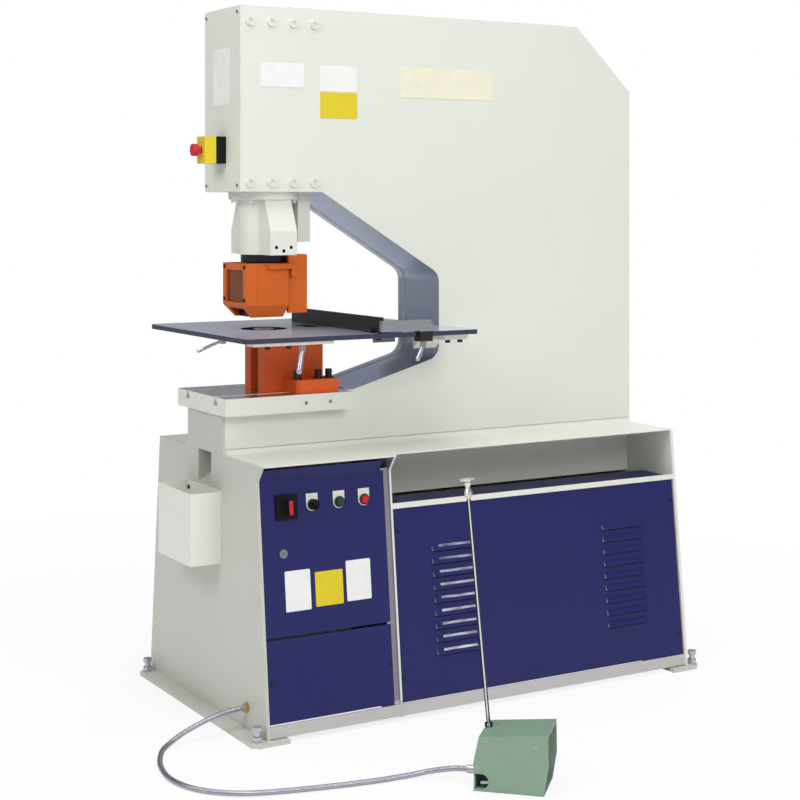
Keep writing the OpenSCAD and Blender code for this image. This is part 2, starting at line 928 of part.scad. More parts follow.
// Die side
module tslot_cut() {
    square_top = jaw_z - tslot_neck;
    translate([-tslot_w / 2, square_top]) square([tslot_w, tslot_neck + cut]);
    translate([-tslot_foot_w / 2, square_top - tslot_foot_h]) square([tslot_foot_w, tslot_foot_h + run_gap]);
}

module bolster() {
    color(white_paint) difference() {
        block([bolster_x0, -bolster_half, bolster_z], [bolster_x1, bolster_half, jaw_z]);
        for (side = [-1, 1])
            along(bolster_x0 - cut, bolster_x1 + cut) translate([side * tslot_y, 0]) tslot_cut();
        translate([ram_x, 0, bolster_z - cut]) cylinder(r = slug_hole_r, h = bolster_t + 2 * cut);
        for (k = [0, 1])
            translate([side_hole_x + k * side_hole_pitch, -bolster_half - cut, bolster_z + bolster_t / 2])
                rotate([-90, 0, 0]) cylinder(r = side_hole_r, h = side_hole_depth + cut);
    }
}

module toe(side) {
    mirror([0, side > 0 ? 0 : 1, 0]) translate([0, 0, jaw_z]) linear_extrude(toe_h)
        polygon([[toe_x0, holder_half - cut], [toe_x1, holder_half - cut], [toe_x1, toe_y],
                 [toe_x0 + toe_chamfer, toe_y], [toe_x0, toe_y - toe_chamfer]]);
}

module die_holder() {
    top = jaw_z + holder_h;
    color(orange_paint) difference() {
        union() {
            block([holder_x0, -holder_half, jaw_z], [holder_x1, holder_half, top]);
            across(-holder_half - crown_out, holder_half + crown_out)
                polygon([[holder_x0, top - crown_h], [holder_x1, top - crown_h], [holder_x1 + crown_out, top],
                         [holder_x0 - crown_out, top]]);
            for (side = [-1, 1]) toe(side);
        }
        block([holder_x0 - cut, -channel_half, jaw_z - cut],
              [holder_x0 + channel_len, channel_half, top - crown_h]);
        translate([ram_x, 0, top - die_seat]) cylinder(r = die_r + run_gap, h = die_seat + cut);
        translate([ram_x, 0, jaw_z - cut]) cylinder(r = slug_bore_r, h = holder_h);
        for (x = toe_bolt_xs, side = [-1, 1])
            translate([x, side * toe_bolt_y, jaw_z - cut])
                cylinder(r = toe_bolt_r + bolt_gap, h = toe_h + 2 * cut);
    }
}

module die() {
    color(bare_steel) translate([ram_x, 0, table_z - die_h]) difference() {
        cylinder(r = die_r, h = die_h);
        translate([0, 0, -cut]) cylinder(r = punch_r + die_relief, h = die_h - die_land + cut);
        translate([0, 0, -cut]) cylinder(r = punch_r + die_gap, h = die_h + 2 * cut);
    }
}

module cap_screws() {
    color(black_steel) {
        for (x = toe_bolt_xs, side = [-1, 1]) translate([x, side * toe_bolt_y, jaw_z + toe_h]) {
            difference() {
                cylinder(r = washer_r, h = washer_t);
                translate([0, 0, -cut]) cylinder(r = toe_bolt_r - cut, h = washer_t + 2 * cut);
            }
            translate([0, 0, washer_t])
                socket_screw(toe_bolt_r - cut, washer_t + toe_bolt_depth, toe_head_r, toe_head_h);
        }
        for (x = rail_bolt_xs) translate([x, -rail_mid, table_low - rail_t]) rotate([180, 0, 0])
            socket_screw(small_bolt_r, rail_t + small_bolt_up - cut, small_head_r, small_head_h);
        for (p = bracket_bolts) translate([p.x, p.y, table_low - bracket_t]) rotate([180, 0, 0])
            socket_screw(small_bolt_r, bracket_t + small_bolt_up - cut, small_head_r, small_head_h);
        for (p = stub_screws) translate([p.x, p.y, table_low]) rotate([180, 0, 0])
            socket_screw(small_bolt_r, small_bolt_up - cut, small_head_r, small_head_h);
    }
}

// Work table
module table_outline() {
    difference() {
        union() {
            translate([table_x0 + table_corner_r, -table_half])
                square([table_x1 - table_x0 - table_corner_r, 2 * table_half]);
            translate([table_x0, -table_half + table_corner_r])
                square([table_x1 - table_x0, 2 * (table_half - table_corner_r)]);
            for (side = [-1, 1])
                translate([table_x0 + table_corner_r, side * (table_half - table_corner_r)])
                    circle(r = table_corner_r);
        }
        translate([ram_x, 0]) circle(r = table_hole_r);
        translate([table_slot_x, table_slot_y]) {
            for (side = [-1, 1]) translate([0, side * table_slot_len / 2]) circle(r = table_slot_r);
            translate([-table_slot_r, -table_slot_len / 2]) square([2 * table_slot_r, table_slot_len]);
        }
    }
}

module work_table() {
    screw_places = concat([for (x = rail_bolt_xs) [x, -rail_mid]], bracket_bolts, stub_screws);
    color(bare_steel) difference() {
        translate([0, 0, table_low]) linear_extrude(table_t) table_outline();
        for (p = screw_places) translate([p.x, p.y, table_low - cut])
            cylinder(r = small_bolt_r + bolt_gap, h = small_bolt_up + cut);
        for (p = [lever_near_at, lever_front_at]) translate([p.x, p.y, table_low - cut])
            cylinder(r = stud_r + run_gap, h = stud_up + 2 * cut);
    }
}

module table_rail() {
    color(white_paint) difference() {
        block([rail_x0, -rail_y - rail_w, table_low - rail_t], [rail_x1, -rail_y, table_low]);
        for (x = rail_bolt_xs) translate([x, -rail_mid, table_low - rail_t - cut])
            cylinder(r = small_bolt_r + bolt_gap, h = rail_t + 2 * cut);
        translate([lever_near_at.x, lever_near_at.y, table_low - rail_t - cut])
            cylinder(r = stud_r + run_gap, h = rail_t + 2 * cut);
    }
}

// A bracket from a side plate out to a distance, with a gusset under it and screws at another distance
module table_bracket(out, leg_y, bolt_y) {
    difference() {
        union() {
            block([bracket_x0, -out, table_low - bracket_t], [bracket_x1, -half_w, table_low]);
            translate([bracket_x0, 0, 0]) along(0, bracket_x1 - bracket_x0)
                polygon([[-half_w, table_low - bracket_t + cut],
                         [-half_w, table_low - bracket_t - bracket_leg],
                         [-half_w - leg_y, table_low - bracket_t + cut]]);
        }
        for (x = bracket_bolt_xs) translate([x, -bolt_y, table_low - bracket_t - bracket_leg])
            cylinder(r = small_bolt_r + bolt_gap, h = bracket_t + bracket_leg + cut);
    }
}

module table_brackets() {
    color(white_paint) {
        table_bracket(bracket_y, bracket_leg_y, bracket_bolt_y);
        mirror([0, 1, 0]) table_bracket(far_bracket_y, far_leg_y, far_bolt_y);
    }
}

// A clamp lever: its hub hangs from the origin, its stud goes up, its arm leans by tilt from straight up
module clamp_lever(up, arm, arm_r, tilt, turn) {
    translate([0, 0, -body_gap]) cylinder(r = stud_r, h = up + body_gap);
    translate([0, 0, -body_gap - hub_h]) {
        cylinder(r = hub_r, h = hub_h);
        translate([0, 0, hub_h / 2]) rotate(turn) rotate([0, tilt, 0]) {
            cylinder(r1 = arm_r, r2 = arm_r + arm_flare, h = arm);
            translate([0, 0, arm]) sphere(r = arm_r + arm_flare);
        }
    }
}

module table_lever_near() {
    color(bare_steel) translate([lever_near_at.x, lever_near_at.y, table_low - rail_t])
        clamp_lever(rail_t + stud_up - cut, lever_near_arm, lever_near_r, lever_near_tilt, lever_near_turn);
}

module table_lever_front() {
    color(bare_steel) translate([lever_front_at.x, lever_front_at.y, table_low])
        clamp_lever(stud_up - cut, lever_front_arm, lever_front_r, lever_front_tilt, lever_front_turn);
}

// Back gauge
fence_z = table_z + body_gap;
clamp_x = clamp_x0 + clamp_w / 2;
clamp_y = table_half + clamp_in / 4;

module gauge_fence() {
    color(black_steel) {
        block([fence_x, -carriage_y, fence_z], [fence_x + fence_t, fence_far, fence_z + fence_h]);
        block([fence_x + fence_t, -carriage_y, fence_z],
              [fence_x + fence_t + fence_foot_w, fence_far, fence_z + fence_foot_h]);
        block([fence_x - stop_front, stop_in - carriage_y, fence_z],
              [fence_x - stop_front + stop_len, stop_in + stop_w - carriage_y, fence_z + stop_h]);
    }
}

module gauge_carriage() {
    low = table_low - clamp_drop;
    end_x = clamp_x0 + clamp_w;
    bar_z = fence_z + carriage_z;
    color(bare_steel) difference() {
        union() {
            across(-carriage_y - carriage_t, -carriage_y)
                polygon([[fence_x, bar_z], [end_x, bar_z], [end_x, bar_z + carriage_h - carriage_bevel],
                         [end_x - carriage_bevel, bar_z + carriage_h], [fence_x, bar_z + carriage_h]]);
            block([clamp_x0, -carriage_y - carriage_t - cut, low],
                  [clamp_x0 + clamp_w, -table_half + clamp_in, table_z + clamp_rise]);
        }
        block([clamp_x0 - cut, -clamp_slot_y, table_low - body_gap],
              [clamp_x0 + clamp_w + cut, -table_half + clamp_in + cut, table_z + body_gap]);
        translate([clamp_x, -clamp_y + clamp_in / 2, low - cut])
            cylinder(r = stud_r + run_gap, h = stud_up + cut);
    }
}

module gauge_lever() {
    color(bare_steel) translate([clamp_x, -clamp_y + clamp_in / 2, table_low - clamp_drop])
        clamp_lever(stud_up - cut, gauge_lever_arm, gauge_lever_r, gauge_lever_tilt, gauge_lever_turn);
}

// Base
module front_outline() {
    polygon(concat(
        [[-flare_y(foot_t), foot_t], [-flare_y(return_z), return_z], [-deck_front_y, deck_z]],
        corner_arc([-deck_front_y, deck_z], [-half_w, deck_z], [-half_w, bolster_z], column_fillet),
        [[-half_w, bolster_z], [half_w, bolster_z]],
        corner_arc([half_w, bolster_z], [half_w, deck_z], [deck_half, deck_z], column_fillet),
        [[deck_half, deck_z], [flare_y(foot_t), foot_t]]));
}

module front_end_plate() {
    color(white_paint) {
        along(front_x, plate_x) difference() {
            front_outline();
            translate([-chute_half, chute_z0]) square([2 * chute_half, chute_h]);
        }
        difference() {
            across(-chute_half - chute_t, chute_half + chute_t)
                polygon([[plate_x, chute_z0 - chute_t], [plate_x, chute_z0 + chute_h],
                         [plate_x + chute_run, chute_z0 + chute_rise + chute_lip],
                         [plate_x + chute_run, chute_z0 + chute_rise - chute_t]]);
            across(-chute_half, chute_half)
                polygon([[plate_x - cut, chute_z0], [plate_x, chute_z0],
                         [plate_x + chute_run, chute_z0 + chute_rise],
                         [plate_x + chute_run + cut, chute_z0 + chute_rise],
                         [plate_x + chute_run + cut, bolster_z], [plate_x - cut, bolster_z]]);
        }
        on_slope() block([plate_x, jamb_y, door_s + 2 * sheet_t],
                         [plate_x + jamb_w, jamb_y + sheet_t, door_s1]);
    }
}

module rear_end_plate() {
    color(white_paint) along(base_rear, frame_rear)
        polygon([[-flare_y(foot_t), foot_t], [-deck_half, deck_z], [deck_half, deck_z],
                 [flare_y(foot_t), foot_t]]);
}

// A concave weld cove along the foot of a side plate
module cove() {
    difference() {
        square(cove_w);
        translate([cove_w, cove_w]) circle(r = cove_r);
    }
}

module deck() {
    step_x = divider_x + divider_t;
    color(white_paint) {
        translate([0, 0, deck_z - deck_t]) linear_extrude(deck_t) {
            polygon([[plate_x, -half_w], [plate_x, -deck_front_y], [step_x, -deck_front_y],
                     [step_x + deck_step, -deck_half], [base_rear, -deck_half], [base_rear, -half_w]]);
            translate([plate_x, half_w]) square([base_rear - plate_x, deck_half - half_w]);
        }
        along(plate_x, frame_rear) translate([half_w, deck_z]) cove();
        along(plate_x, frame_rear) mirror([1, 0]) translate([half_w, deck_z]) cove();
    }
}

module side_frame() {
    top = deck_z - deck_t;
    return_y = deck_front_y - deck_t * (deck_front_y - flare_y(return_z)) / return_drop;
    low_s = (foot_t + skirt_t * sin(flare)) / cos(flare) + skirt_lift;
    color(white_paint) {
        along(divider_x, divider_x + divider_t)
            polygon([[-half_w, foot_t], [-half_w, top], [-return_y, top], [-flare_y(return_z), return_z],
                     [-flare_y(foot_t), foot_t]]);
        on_slope() {
            block([divider_x - jamb_w, jamb_y, skirt_s / 2],
                  [divider_x + cut, jamb_y + sheet_t, door_s1 + jamb_y]);
            block([divider_x + divider_t - cut, rail_set, rail_s0], [base_rear, rail_plate_t, rail_s1]);
            block([plate_x, rail_set, low_s], [divider_x + cut, skirt_t, skirt_s]);
            block([divider_x + divider_t - cut, rail_set, low_s], [base_rear, skirt_t, skirt_s]);
        }
    }
}

module far_panel() {
    low_s = (foot_t + sheet_t * sin(flare)) / cos(flare);
    color(white_paint) mirror([0, 1, 0]) on_slope()
        block([plate_x, 0, low_s], [base_rear, sheet_t, (deck_z - deck_t) / cos(flare)]);
}

// A foot flange from x0 to x1 that stands out on the near side, with its two corners at one end cut off
module foot_flange(x0, x1, cut_x) {
    far_x = cut_x == x0 ? x1 : x0;
    way = cut_x == x0 ? 1 : -1;
    linear_extrude(foot_t) difference() {
        polygon([[far_x, -foot_near], [far_x, base_half], [cut_x + way * foot_chamfer, base_half],
                 [cut_x, base_half - foot_chamfer], [cut_x, near_chamfer - foot_near],
                 [cut_x + way * near_chamfer, -foot_near]]);
        for (p = level_places) translate(p) circle(r = level_r + bolt_gap);
    }
}

level_xs = [-foot_front + level_inset, frame_rear + foot_rear_out - level_inset + level_r];
level_places = [for (x = level_xs, y = [level_in - foot_near, base_half - level_far]) [x, y]];

module foot_flanges() {
    color(white_paint) {
        foot_flange(-foot_front, foot_back, -foot_front);
        foot_flange(frame_rear - foot_rear_in, frame_rear + foot_rear_out, frame_rear + foot_rear_out);
    }
}

module levelling_bolts() {
    color(bare_steel) for (p = level_places) translate(p) {
        cylinder(r = level_r, h = level_top);
        translate([0, 0, level_top]) cylinder(r = level_hex_r, h = level_head_h, $fn = 6);
        translate([0, 0, foot_t]) difference() {
            cylinder(r = level_hex_r, h = level_nut_h, $fn = 6);
            translate([0, 0, -cut]) cylinder(r = level_r + run_gap, h = level_nut_h + 2 * cut);
        }
    }
}

// Cabinet door, drawn as its profile across the slope: a sheet with a return along the bottom
module door_profile() {
    translate([door_y, door_s]) square([sheet_t, door_s1 - door_s]);
    translate([door_y, door_s]) square([pan_depth, sheet_t]);
}

// The strip folded outwards along the door's top, cut back where it would meet the hinge lug
module door_fold() {
    translate([0, door_y, door_s1 - sheet_t / 2]) rotate([fold_angle, 0, 0]) across(0, sheet_t)
        polygon([[door_x0 + fold_set, -sheet_t / 2], [door_x1 - fold_trim, -sheet_t / 2],
                 [door_x1 - fold_tip, fold_len], [door_x0 + fold_set, fold_len]]);
}

module electrical_door() {
    color(blue_paint) difference() {
        on_slope() {
            along(door_x0, door_x1) door_profile();
            door_fold();
            block([rib_x, door_y, door_s], [rib_x + sheet_t, jamb_y + sheet_t, door_s1 - pan_depth]);
            block([door_x1 - door_tab, door_y, door_s1 - sheet_t], [door_x1, door_tab_y, door_s1]);
        }
        on_slope() for (s = [door_s, door_s1 - sheet_t]) translate([hinge_pin_x, hinge_pin_y, s - cut])
            cylinder(r = door_pin_r + run_gap, h = sheet_t + 2 * cut);
        for (x = concat(control_xs, [isolator_x]))
            at_panel(x, control_s) cylinder(r = button_r + bolt_gap, h = pan_depth);
        at_panel(lock_x, lock_s) cylinder(r = lock_r + run_gap, h = pan_depth);
    }
}

// Hinge pins above and below the door, on lugs that stand off the divider's jamb
module door_hinge_pins() {
    jamb_x = divider_x - jamb_w;
    low = door_s - body_gap - hinge_lug_t;
    high = door_s1 + body_gap;
    color(bare_steel) on_slope() {
        for (s = [low, high])
            block([hinge_pin_x - hinge_edge, hinge_pin_y - door_pin_r, s],
                  [jamb_x, jamb_y + sheet_t, s + hinge_lug_t]);
        for (s = [low + hinge_lug_t, door_s1 - sheet_t])
            translate([hinge_pin_x, hinge_pin_y, s]) cylinder(r = door_pin_r, h = sheet_t + body_gap);
    }
}

module lower_panel() {
    color(blue_paint) on_slope()
        block([door_x0, door_y, lower_s0], [door_x1, door_y + sheet_t, door_s - seam]);
}

// A pressed louvre: a wedge-shaped hood that opens downwards
module louvre_hood() {
    polygon([[pump_y + run_gap, louvre_slot], [pump_y + run_gap, louvre_h],
             [pump_y - louvre_out, louvre_slot],
             [pump_y - louvre_out, louvre_slot - sheet_t / 2]]);
}

module pump_panel() {
    end_x = base_rear - 2 * panel_gap;
    low_s = skirt_s + panel_gap;
    rise = pump_shelf * sin(flare);
    color(blue_paint) on_slope() {
        difference() {
            union() {
                block([pump_x0, pump_y, low_s], [end_x, pump_y + sheet_t, pump_s1]);
                block([pump_x0, pump_y, low_s], [end_x, pump_y + pan_depth, low_s + sheet_t]);
            }
            for (x = louvre_xs, i = [0:louvre_n - 1])
                block([x, pump_y - cut, louvre_s0 + i * louvre_pitch],
                      [x + louvre_len, pump_y + sheet_t + cut, louvre_s0 + i * louvre_pitch + louvre_slot]);
        }
        along(pump_x0, end_x)
            polygon([[pump_y + sheet_t, pump_s1 - sheet_t], [pump_y + sheet_t, pump_s1],
                     [pump_y + pump_shelf, pump_s1 + rise], [pump_y + pump_shelf, pump_s1 + rise - sheet_t]]);
        for (x = louvre_xs, i = [0:louvre_n - 1]) translate([0, 0, louvre_s0 + i * louvre_pitch])
            along(x, x + louvre_len) louvre_hood();
    }
}

module oil_tank() {
    color(blue_paint) {
        block([divider_x + divider_t, -sub_y, sub_z], [base_rear, -half_w, sub_z + sub_t]);
        block([tank_x0, -tank_y0, sub_z + sub_t - cut], [tank_x1, -tank_y1, tank_top]);
    }
}

module power_unit() {
    axis_z = sub_z + sub_t + motor_lift + motor_r;
    color(bare_steel) {
        translate([motor_x0, -motor_y, axis_z]) rotate([0, 90, 0]) {
            cylinder(r = motor_r, h = motor_len);
            translate([0, 0, -pump_len]) cylinder(r = pump_r, h = pump_len + cut);
            translate([0, 0, motor_len - cut]) cylinder(r = motor_r - motor_rib, h = pump_len);
        }
        block([motor_x0 + motor_len / 2 - foot_block, -motor_y - motor_r / 2, sub_z + sub_t],
              [motor_x0 + motor_len / 2 + foot_block, -motor_y + motor_r / 2, axis_z - motor_r / 2]);
    }
}

// Door controls
module isolator_plate() {
    color(black_steel) difference() {
        on_slope() block([isolator_x - isolator_w / 2, door_y - isolator_t, control_s - isolator_hh / 2],
                         [isolator_x + isolator_w / 2, door_y, control_s + isolator_hh / 2]);
        at_panel(isolator_x, control_s) translate([0, 0, door_y - isolator_t - cut])
            cylinder(r = isolator_hub_r + run_gap, h = isolator_t + 2 * cut);
    }
}

module isolator_handle() {
    color(button_red) at_panel(isolator_x, control_s) translate([0, 0, door_y - isolator_t]) {
        translate([0, 0, -body_gap]) cylinder(r = isolator_hub_r, h = isolator_t + button_back);
        translate([0, 0, -body_gap - handle_t]) linear_extrude(handle_t) {
            square([handle_w, handle_len - handle_w], center = true);
            for (side = [-1, 1]) translate([0, side * (handle_len - handle_w) / 2]) circle(d = handle_w);
        }
    }
}

module control_bezels() {
    color(bare_steel) for (i = [0:len(control_xs) - 1])
        at_panel(control_xs[i], control_s) translate([0, 0, door_y]) difference() {
            union() {
                translate([0, 0, -bezel_h]) cylinder(r = bezel_r, h = bezel_h);
                translate([-legend_w / 2, -legend_up, -legend_t]) cube([legend_w, legend_up, legend_t]);
                translate([0, 0, -legend_t]) cylinder(r = legend_w / 2, h = legend_t);
            }
            translate([0, 0, -bezel_h - cut])
                cylinder(r = (i == 0 ? selector_r : button_r) + run_gap, h = bezel_h + 2 * cut);
        }
}

module selector_knob() {
    color(black_steel) at_panel(control_xs[0], control_s) translate([0, 0, door_y - bezel_h]) {
        translate([0, 0, -body_gap]) cylinder(r = selector_r, h = bezel_h + button_back);
        translate([0, 0, -body_gap - selector_knob_h]) cylinder(r = selector_knob_r, h = selector_knob_h);
        rotate(selector_rest) translate([-selector_ridge_w / 2, -selector_knob_r + cut,
                                         -body_gap - selector_knob_h - selector_ridge_h])
            cube([selector_ridge_w, 2 * (selector_knob_r - cut), selector_ridge_h + cut]);
    }
}

module push_button(x) {
    at_panel(x, control_s) translate([0, 0, door_y - button_out])
        cylinder(r = button_r, h = button_out + button_back);
}

module start_button() color(button_green) push_button(control_xs[1]);

module stop_button() color(button_red) push_button(control_xs[2]);

// The lock's barrel, with a cam behind the door that stands upright when unlocked
module door_lock() {
    color(bare_steel) at_panel(lock_x, lock_s) difference() {
        union() {
            translate([0, 0, door_y - lock_out]) cylinder(r = lock_r, h = lock_out + lock_back);
            translate([-cam_w / 2, -cam_len, door_y + lock_back - cam_t]) cube([cam_w, cam_len, cam_t]);
        }
        translate([-key_w / 2, -key_len / 2, door_y - lock_out - cut])
            cube([key_w, key_len, key_depth + cut]);
    }
}

// Emergency stop
estop_x = head_x - cover_t;

module estop_base() {
    color(black_steel) block([estop_x - estop_base_t, -estop_w / 2, estop_z - estop_hh / 2],
                             [estop_x, estop_w / 2, estop_z + estop_hh / 2]);
}

module estop_cover() {
    face = estop_x - estop_base_t;
    color(cover_yellow) difference() {
        block([face - estop_cover_t, -estop_w / 2, estop_z - estop_hh / 2],
              [face, estop_w / 2, estop_z + estop_hh / 2]);
        translate([face - estop_cover_t - cut, 0, estop_z]) rotate([0, 90, 0])
            cylinder(r = estop_stem_r + run_gap, h = estop_stem_in + 2 * estop_stem_len);
    }
}

module estop_button() {
    face = estop_x - estop_base_t - estop_cover_t;
    color(button_red) translate([face, 0, estop_z]) rotate([0, -90, 0]) {
        translate([0, 0, -estop_stem_in]) cylinder(r = estop_stem_r, h = estop_stem_in + estop_stem_len);
        translate([0, 0, estop_stem_len]) cylinder(r = estop_cap_r, h = estop_cap_t);
    }
}

module slug_box() {
    color(white_paint) difference() {
        block([front_x - slug_x, -slug_half, slug_z0], [front_x, slug_half, slug_z1]);
        block([front_x - slug_x + slug_t, -slug_half + slug_t, slug_z0 + slug_t],
              [front_x - slug_t, slug_half - slug_t, slug_z1 + cut]);
    }
}

// Foot switch
module at_pedal() translate([pedal_x, pedal_y, 0]) rotate(pedal_turn) children();

function pedal_outline(inset, open) = [
    [-pedal_rear + inset, inset], [-pedal_rear + inset, pedal_h * pedal_mid_share],
    [-pedal_rear + pedal_lean + inset, pedal_h - inset],
    [pedal_front + pedal_top_front + open, pedal_h + pedal_rise - inset],
    [pedal_front + pedal_bow + open, pedal_h * pedal_mid_share], [pedal_front + open, inset]];

module hose_glands() {
    color(brass) {
        translate([front_x, gland_y, gland_z]) rotate([0, -90, 0]) {
            cylinder(r = gland_hex_r, h = gland_hex_t, $fn = 6);
            translate([0, 0, gland_hex_t]) cylinder(r = gland_ring_r, h = gland_ring_t);
        }
        at_pedal() translate([-pedal_rear, fitting_y, fitting_z]) rotate([0, -90, 0]) {
            cylinder(r = fitting_nut_r, h = fitting_nut_t, $fn = 6);
            translate([0, 0, fitting_nut_t]) cylinder(r = fitting_r, h = fitting_len - fitting_nut_t);
        }
    }
}

// The hose: one tube swept along its route
function route_dir(p, i) = unit(p[min(i + 1, len(p) - 1)] - p[max(i - 1, 0)]);
function ring_at(c, d, r) =
    let (side = unit(cross([0, 0, 1], d)), up = cross(d, side))
    [for (k = [0:hose_sides - 1]) let (a = 360 * k / hose_sides) c + r * (side * cos(a) + up * sin(a))];

module hose() {
    n = len(hose_points);
    ends = [[-1, 0, 0], [cos(pedal_turn), sin(pedal_turn), 0]];
    points = [for (i = [0:n - 1])
        let (d = i == 0 ? ends[0] : i == n - 1 ? ends[1] : route_dir(hose_points, i))
        each ring_at(hose_points[i], d, hose_r)];
    sides = [for (i = [0:n - 2], k = [0:hose_sides - 1])
        let (a = i * hose_sides + k, b = i * hose_sides + (k + 1) % hose_sides)
        each [[a, b + hose_sides, b], [a, a + hose_sides, b + hose_sides]]];
    caps = [[for (k = [0:hose_sides - 1]) k], [for (k = [0:hose_sides - 1]) n * hose_sides - 1 - k]];
    color(bare_steel) polyhedron(points, concat(sides, caps));
}

module pedal_guard() {
    color(green_paint) at_pedal() difference() {
        across(-pedal_w / 2, pedal_w / 2) polygon(pedal_outline(0, 0));
        difference() {
            across(-pedal_w / 2 + pedal_t, pedal_w / 2 - pedal_t)
                polygon(pedal_outline(pedal_t, 2 * pedal_bow));
            block([-pedal_rear, -pedal_w, 0], [pedal_front, pedal_w, pedal_floor]);
        }
        for (side = [-1, 1]) {
            translate([-notch_x - notch_r, side * pedal_w / 2, notch_z + notch_r]) rotate([90, 0, 0])
                cylinder(r = notch_r, h = 4 * pedal_t, center = true);
            translate([-pedal_rear - cut, side * pedal_w / 2 - 2 * pedal_t, notch_z])
                cube([pedal_rear + cut - notch_x - notch_r, 4 * pedal_t, 2 * notch_r]);
        }
        translate([-treadle_x + treadle_pin_r, 0, treadle_z + 3 * treadle_pin_r]) rotate([90, 0, 0])
            cylinder(r = treadle_pin_r + run_gap, h = pedal_w - 2 * pin_seat, center = true);
        translate([rod_at.x, rod_at.y, pedal_h - 2 * pedal_t])
            cylinder(r = chrome_rod_r + bolt_gap, h = pedal_h);
    }
}

module treadle() {
    half = pedal_w / 2 - pedal_t - treadle_gap;
    low = -treadle_pin_r - treadle_t / 2;
    color(bare_steel) at_pedal() translate([-treadle_x + treadle_pin_r, 0, treadle_z + 3 * treadle_pin_r]) {
        rotate([90, 0, 0])
            cylinder(r = treadle_pin_r, h = pedal_w - 2 * pin_seat - 2 * run_gap, center = true);
        rotate([0, -treadle_tilt, 0]) across(-half, half)
            polygon([[-treadle_back, low], [treadle_len, low], [treadle_len, low + treadle_t + treadle_lip],
                     [treadle_len - treadle_t, low + treadle_t + treadle_lip],
                     [treadle_len - 2 * treadle_t, low + treadle_t], [-treadle_back, low + treadle_t]]);
    }
}

module pedal_rod() {
    top_z = pedal_h + pedal_rise * (pedal_rear - pedal_lean + rod_at.x + 2 * rod_nut_r) / (2 * pedal_rear);
    lean = norm([rod_lean_x, rod_lean_y]);
    tilt = atan(lean / rod_h);
    heading = atan2(rod_lean_y, rod_lean_x);
    color(bare_steel) at_pedal() translate([rod_at.x, rod_at.y, 0]) {
        translate([0, 0, top_z - rod_inside]) cylinder(r = chrome_rod_r, h = rod_inside + rod_nut_h / 2);
        translate([0, 0, top_z]) cylinder(r = rod_nut_r, h = rod_nut_h);
        translate([0, 0, top_z + rod_nut_h / 2]) rotate(heading - pedal_turn) rotate([0, tilt, 0]) {
            cylinder(r = chrome_rod_r, h = rod_h / cos(tilt));
            translate([0, 0, rod_h / cos(tilt) - cut]) rotate_extrude()
                polygon([[0, 0], [knob_neck_r, 0], [knob_ball_r, knob_h * knob_shares[0]],
                         [knob_ball_r, knob_h * knob_shares[1]], [knob_neck_r, knob_h * knob_shares[2]],
                         [knob_neck_r, knob_h * knob_shares[3]], [knob_ball_r, knob_h * knob_shares[4]],
                         [knob_top_r, knob_h * knob_shares[5]], [knob_top_r, knob_h], [0, knob_h]]);
        }
    }
}

side_plate_near();
side_plate_far();
throat_liner();
frame_web();
top_cover();
head_front_cover();
cylinder_block();
head_bolts();
ring_flange();
ram_housing();
guide_plate();
ram();
coupling_nut();
punch();
stripper_column();
stripper_guard();
stripper_window();
stripper_foot();
bolster();
die_holder();
die();
cap_screws();
work_table();
table_rail();
table_brackets();
table_lever_near();
table_lever_front();
gauge_fence();
gauge_carriage();
gauge_lever();
front_end_plate();
rear_end_plate();
deck();
side_frame();
far_panel();
foot_flanges();
levelling_bolts();
electrical_door();
door_hinge_pins();
lower_panel();
pump_panel();
oil_tank();
power_unit();
isolator_plate();
isolator_handle();
control_bezels();
selector_knob();
start_button();
stop_button();
door_lock();
estop_base();
estop_cover();
estop_button();
slug_box();
hose_glands();
hose();
pedal_guard();
treadle();
pedal_rod();
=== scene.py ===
import math
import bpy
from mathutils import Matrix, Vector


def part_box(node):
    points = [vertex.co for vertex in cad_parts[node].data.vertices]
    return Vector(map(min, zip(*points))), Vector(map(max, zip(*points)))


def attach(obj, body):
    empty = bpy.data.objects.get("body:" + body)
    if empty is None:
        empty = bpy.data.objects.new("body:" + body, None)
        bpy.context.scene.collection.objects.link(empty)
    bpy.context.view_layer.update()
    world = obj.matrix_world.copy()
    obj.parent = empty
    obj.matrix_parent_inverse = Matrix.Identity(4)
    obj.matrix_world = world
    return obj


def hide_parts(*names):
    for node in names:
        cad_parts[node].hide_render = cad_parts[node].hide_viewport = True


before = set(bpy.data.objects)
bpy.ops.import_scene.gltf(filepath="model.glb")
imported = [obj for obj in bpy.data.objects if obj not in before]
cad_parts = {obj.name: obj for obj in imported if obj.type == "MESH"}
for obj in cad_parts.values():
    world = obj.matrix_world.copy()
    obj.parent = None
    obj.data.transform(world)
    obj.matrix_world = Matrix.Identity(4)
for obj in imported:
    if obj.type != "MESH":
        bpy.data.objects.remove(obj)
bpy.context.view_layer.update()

from types import SimpleNamespace

import bpy
from mathutils import Vector

bl_info = {
    "name": "Hydraulic punching machine",
    "version": (1, 0, 0),
    "blender": (4, 5, 0),
    "location": "View3D > Sidebar > Punch",
    "description": "Dresses the punching machine's solids and sets up its studio",
    "category": "Object",
}

PREFIX = "finish_"
ALONG = Vector((1, 0, 0))
FORWARD = Vector((-1, 0, 0))
NEAR = Vector((0, -1, 0))
UP = Vector((0, 0, 1))

# The cabinet's near panels lean: half width at the floor and at the deck's height, in metres,
# and how far the door and the pump panel lie behind that sloping plane
BASE_HALF = 0.3715
DECK_HALF = 0.303
DECK_Z = 0.659
FLARE = math.atan((BASE_HALF - DECK_HALF) / DECK_Z)
DOOR_SET = 0.0015
PUMP_SET = 0.004
PANEL_OUT = Vector((0.0, -math.cos(FLARE), math.sin(FLARE)))
PANEL_UP = Vector((0.0, math.sin(FLARE), math.cos(FLARE)))

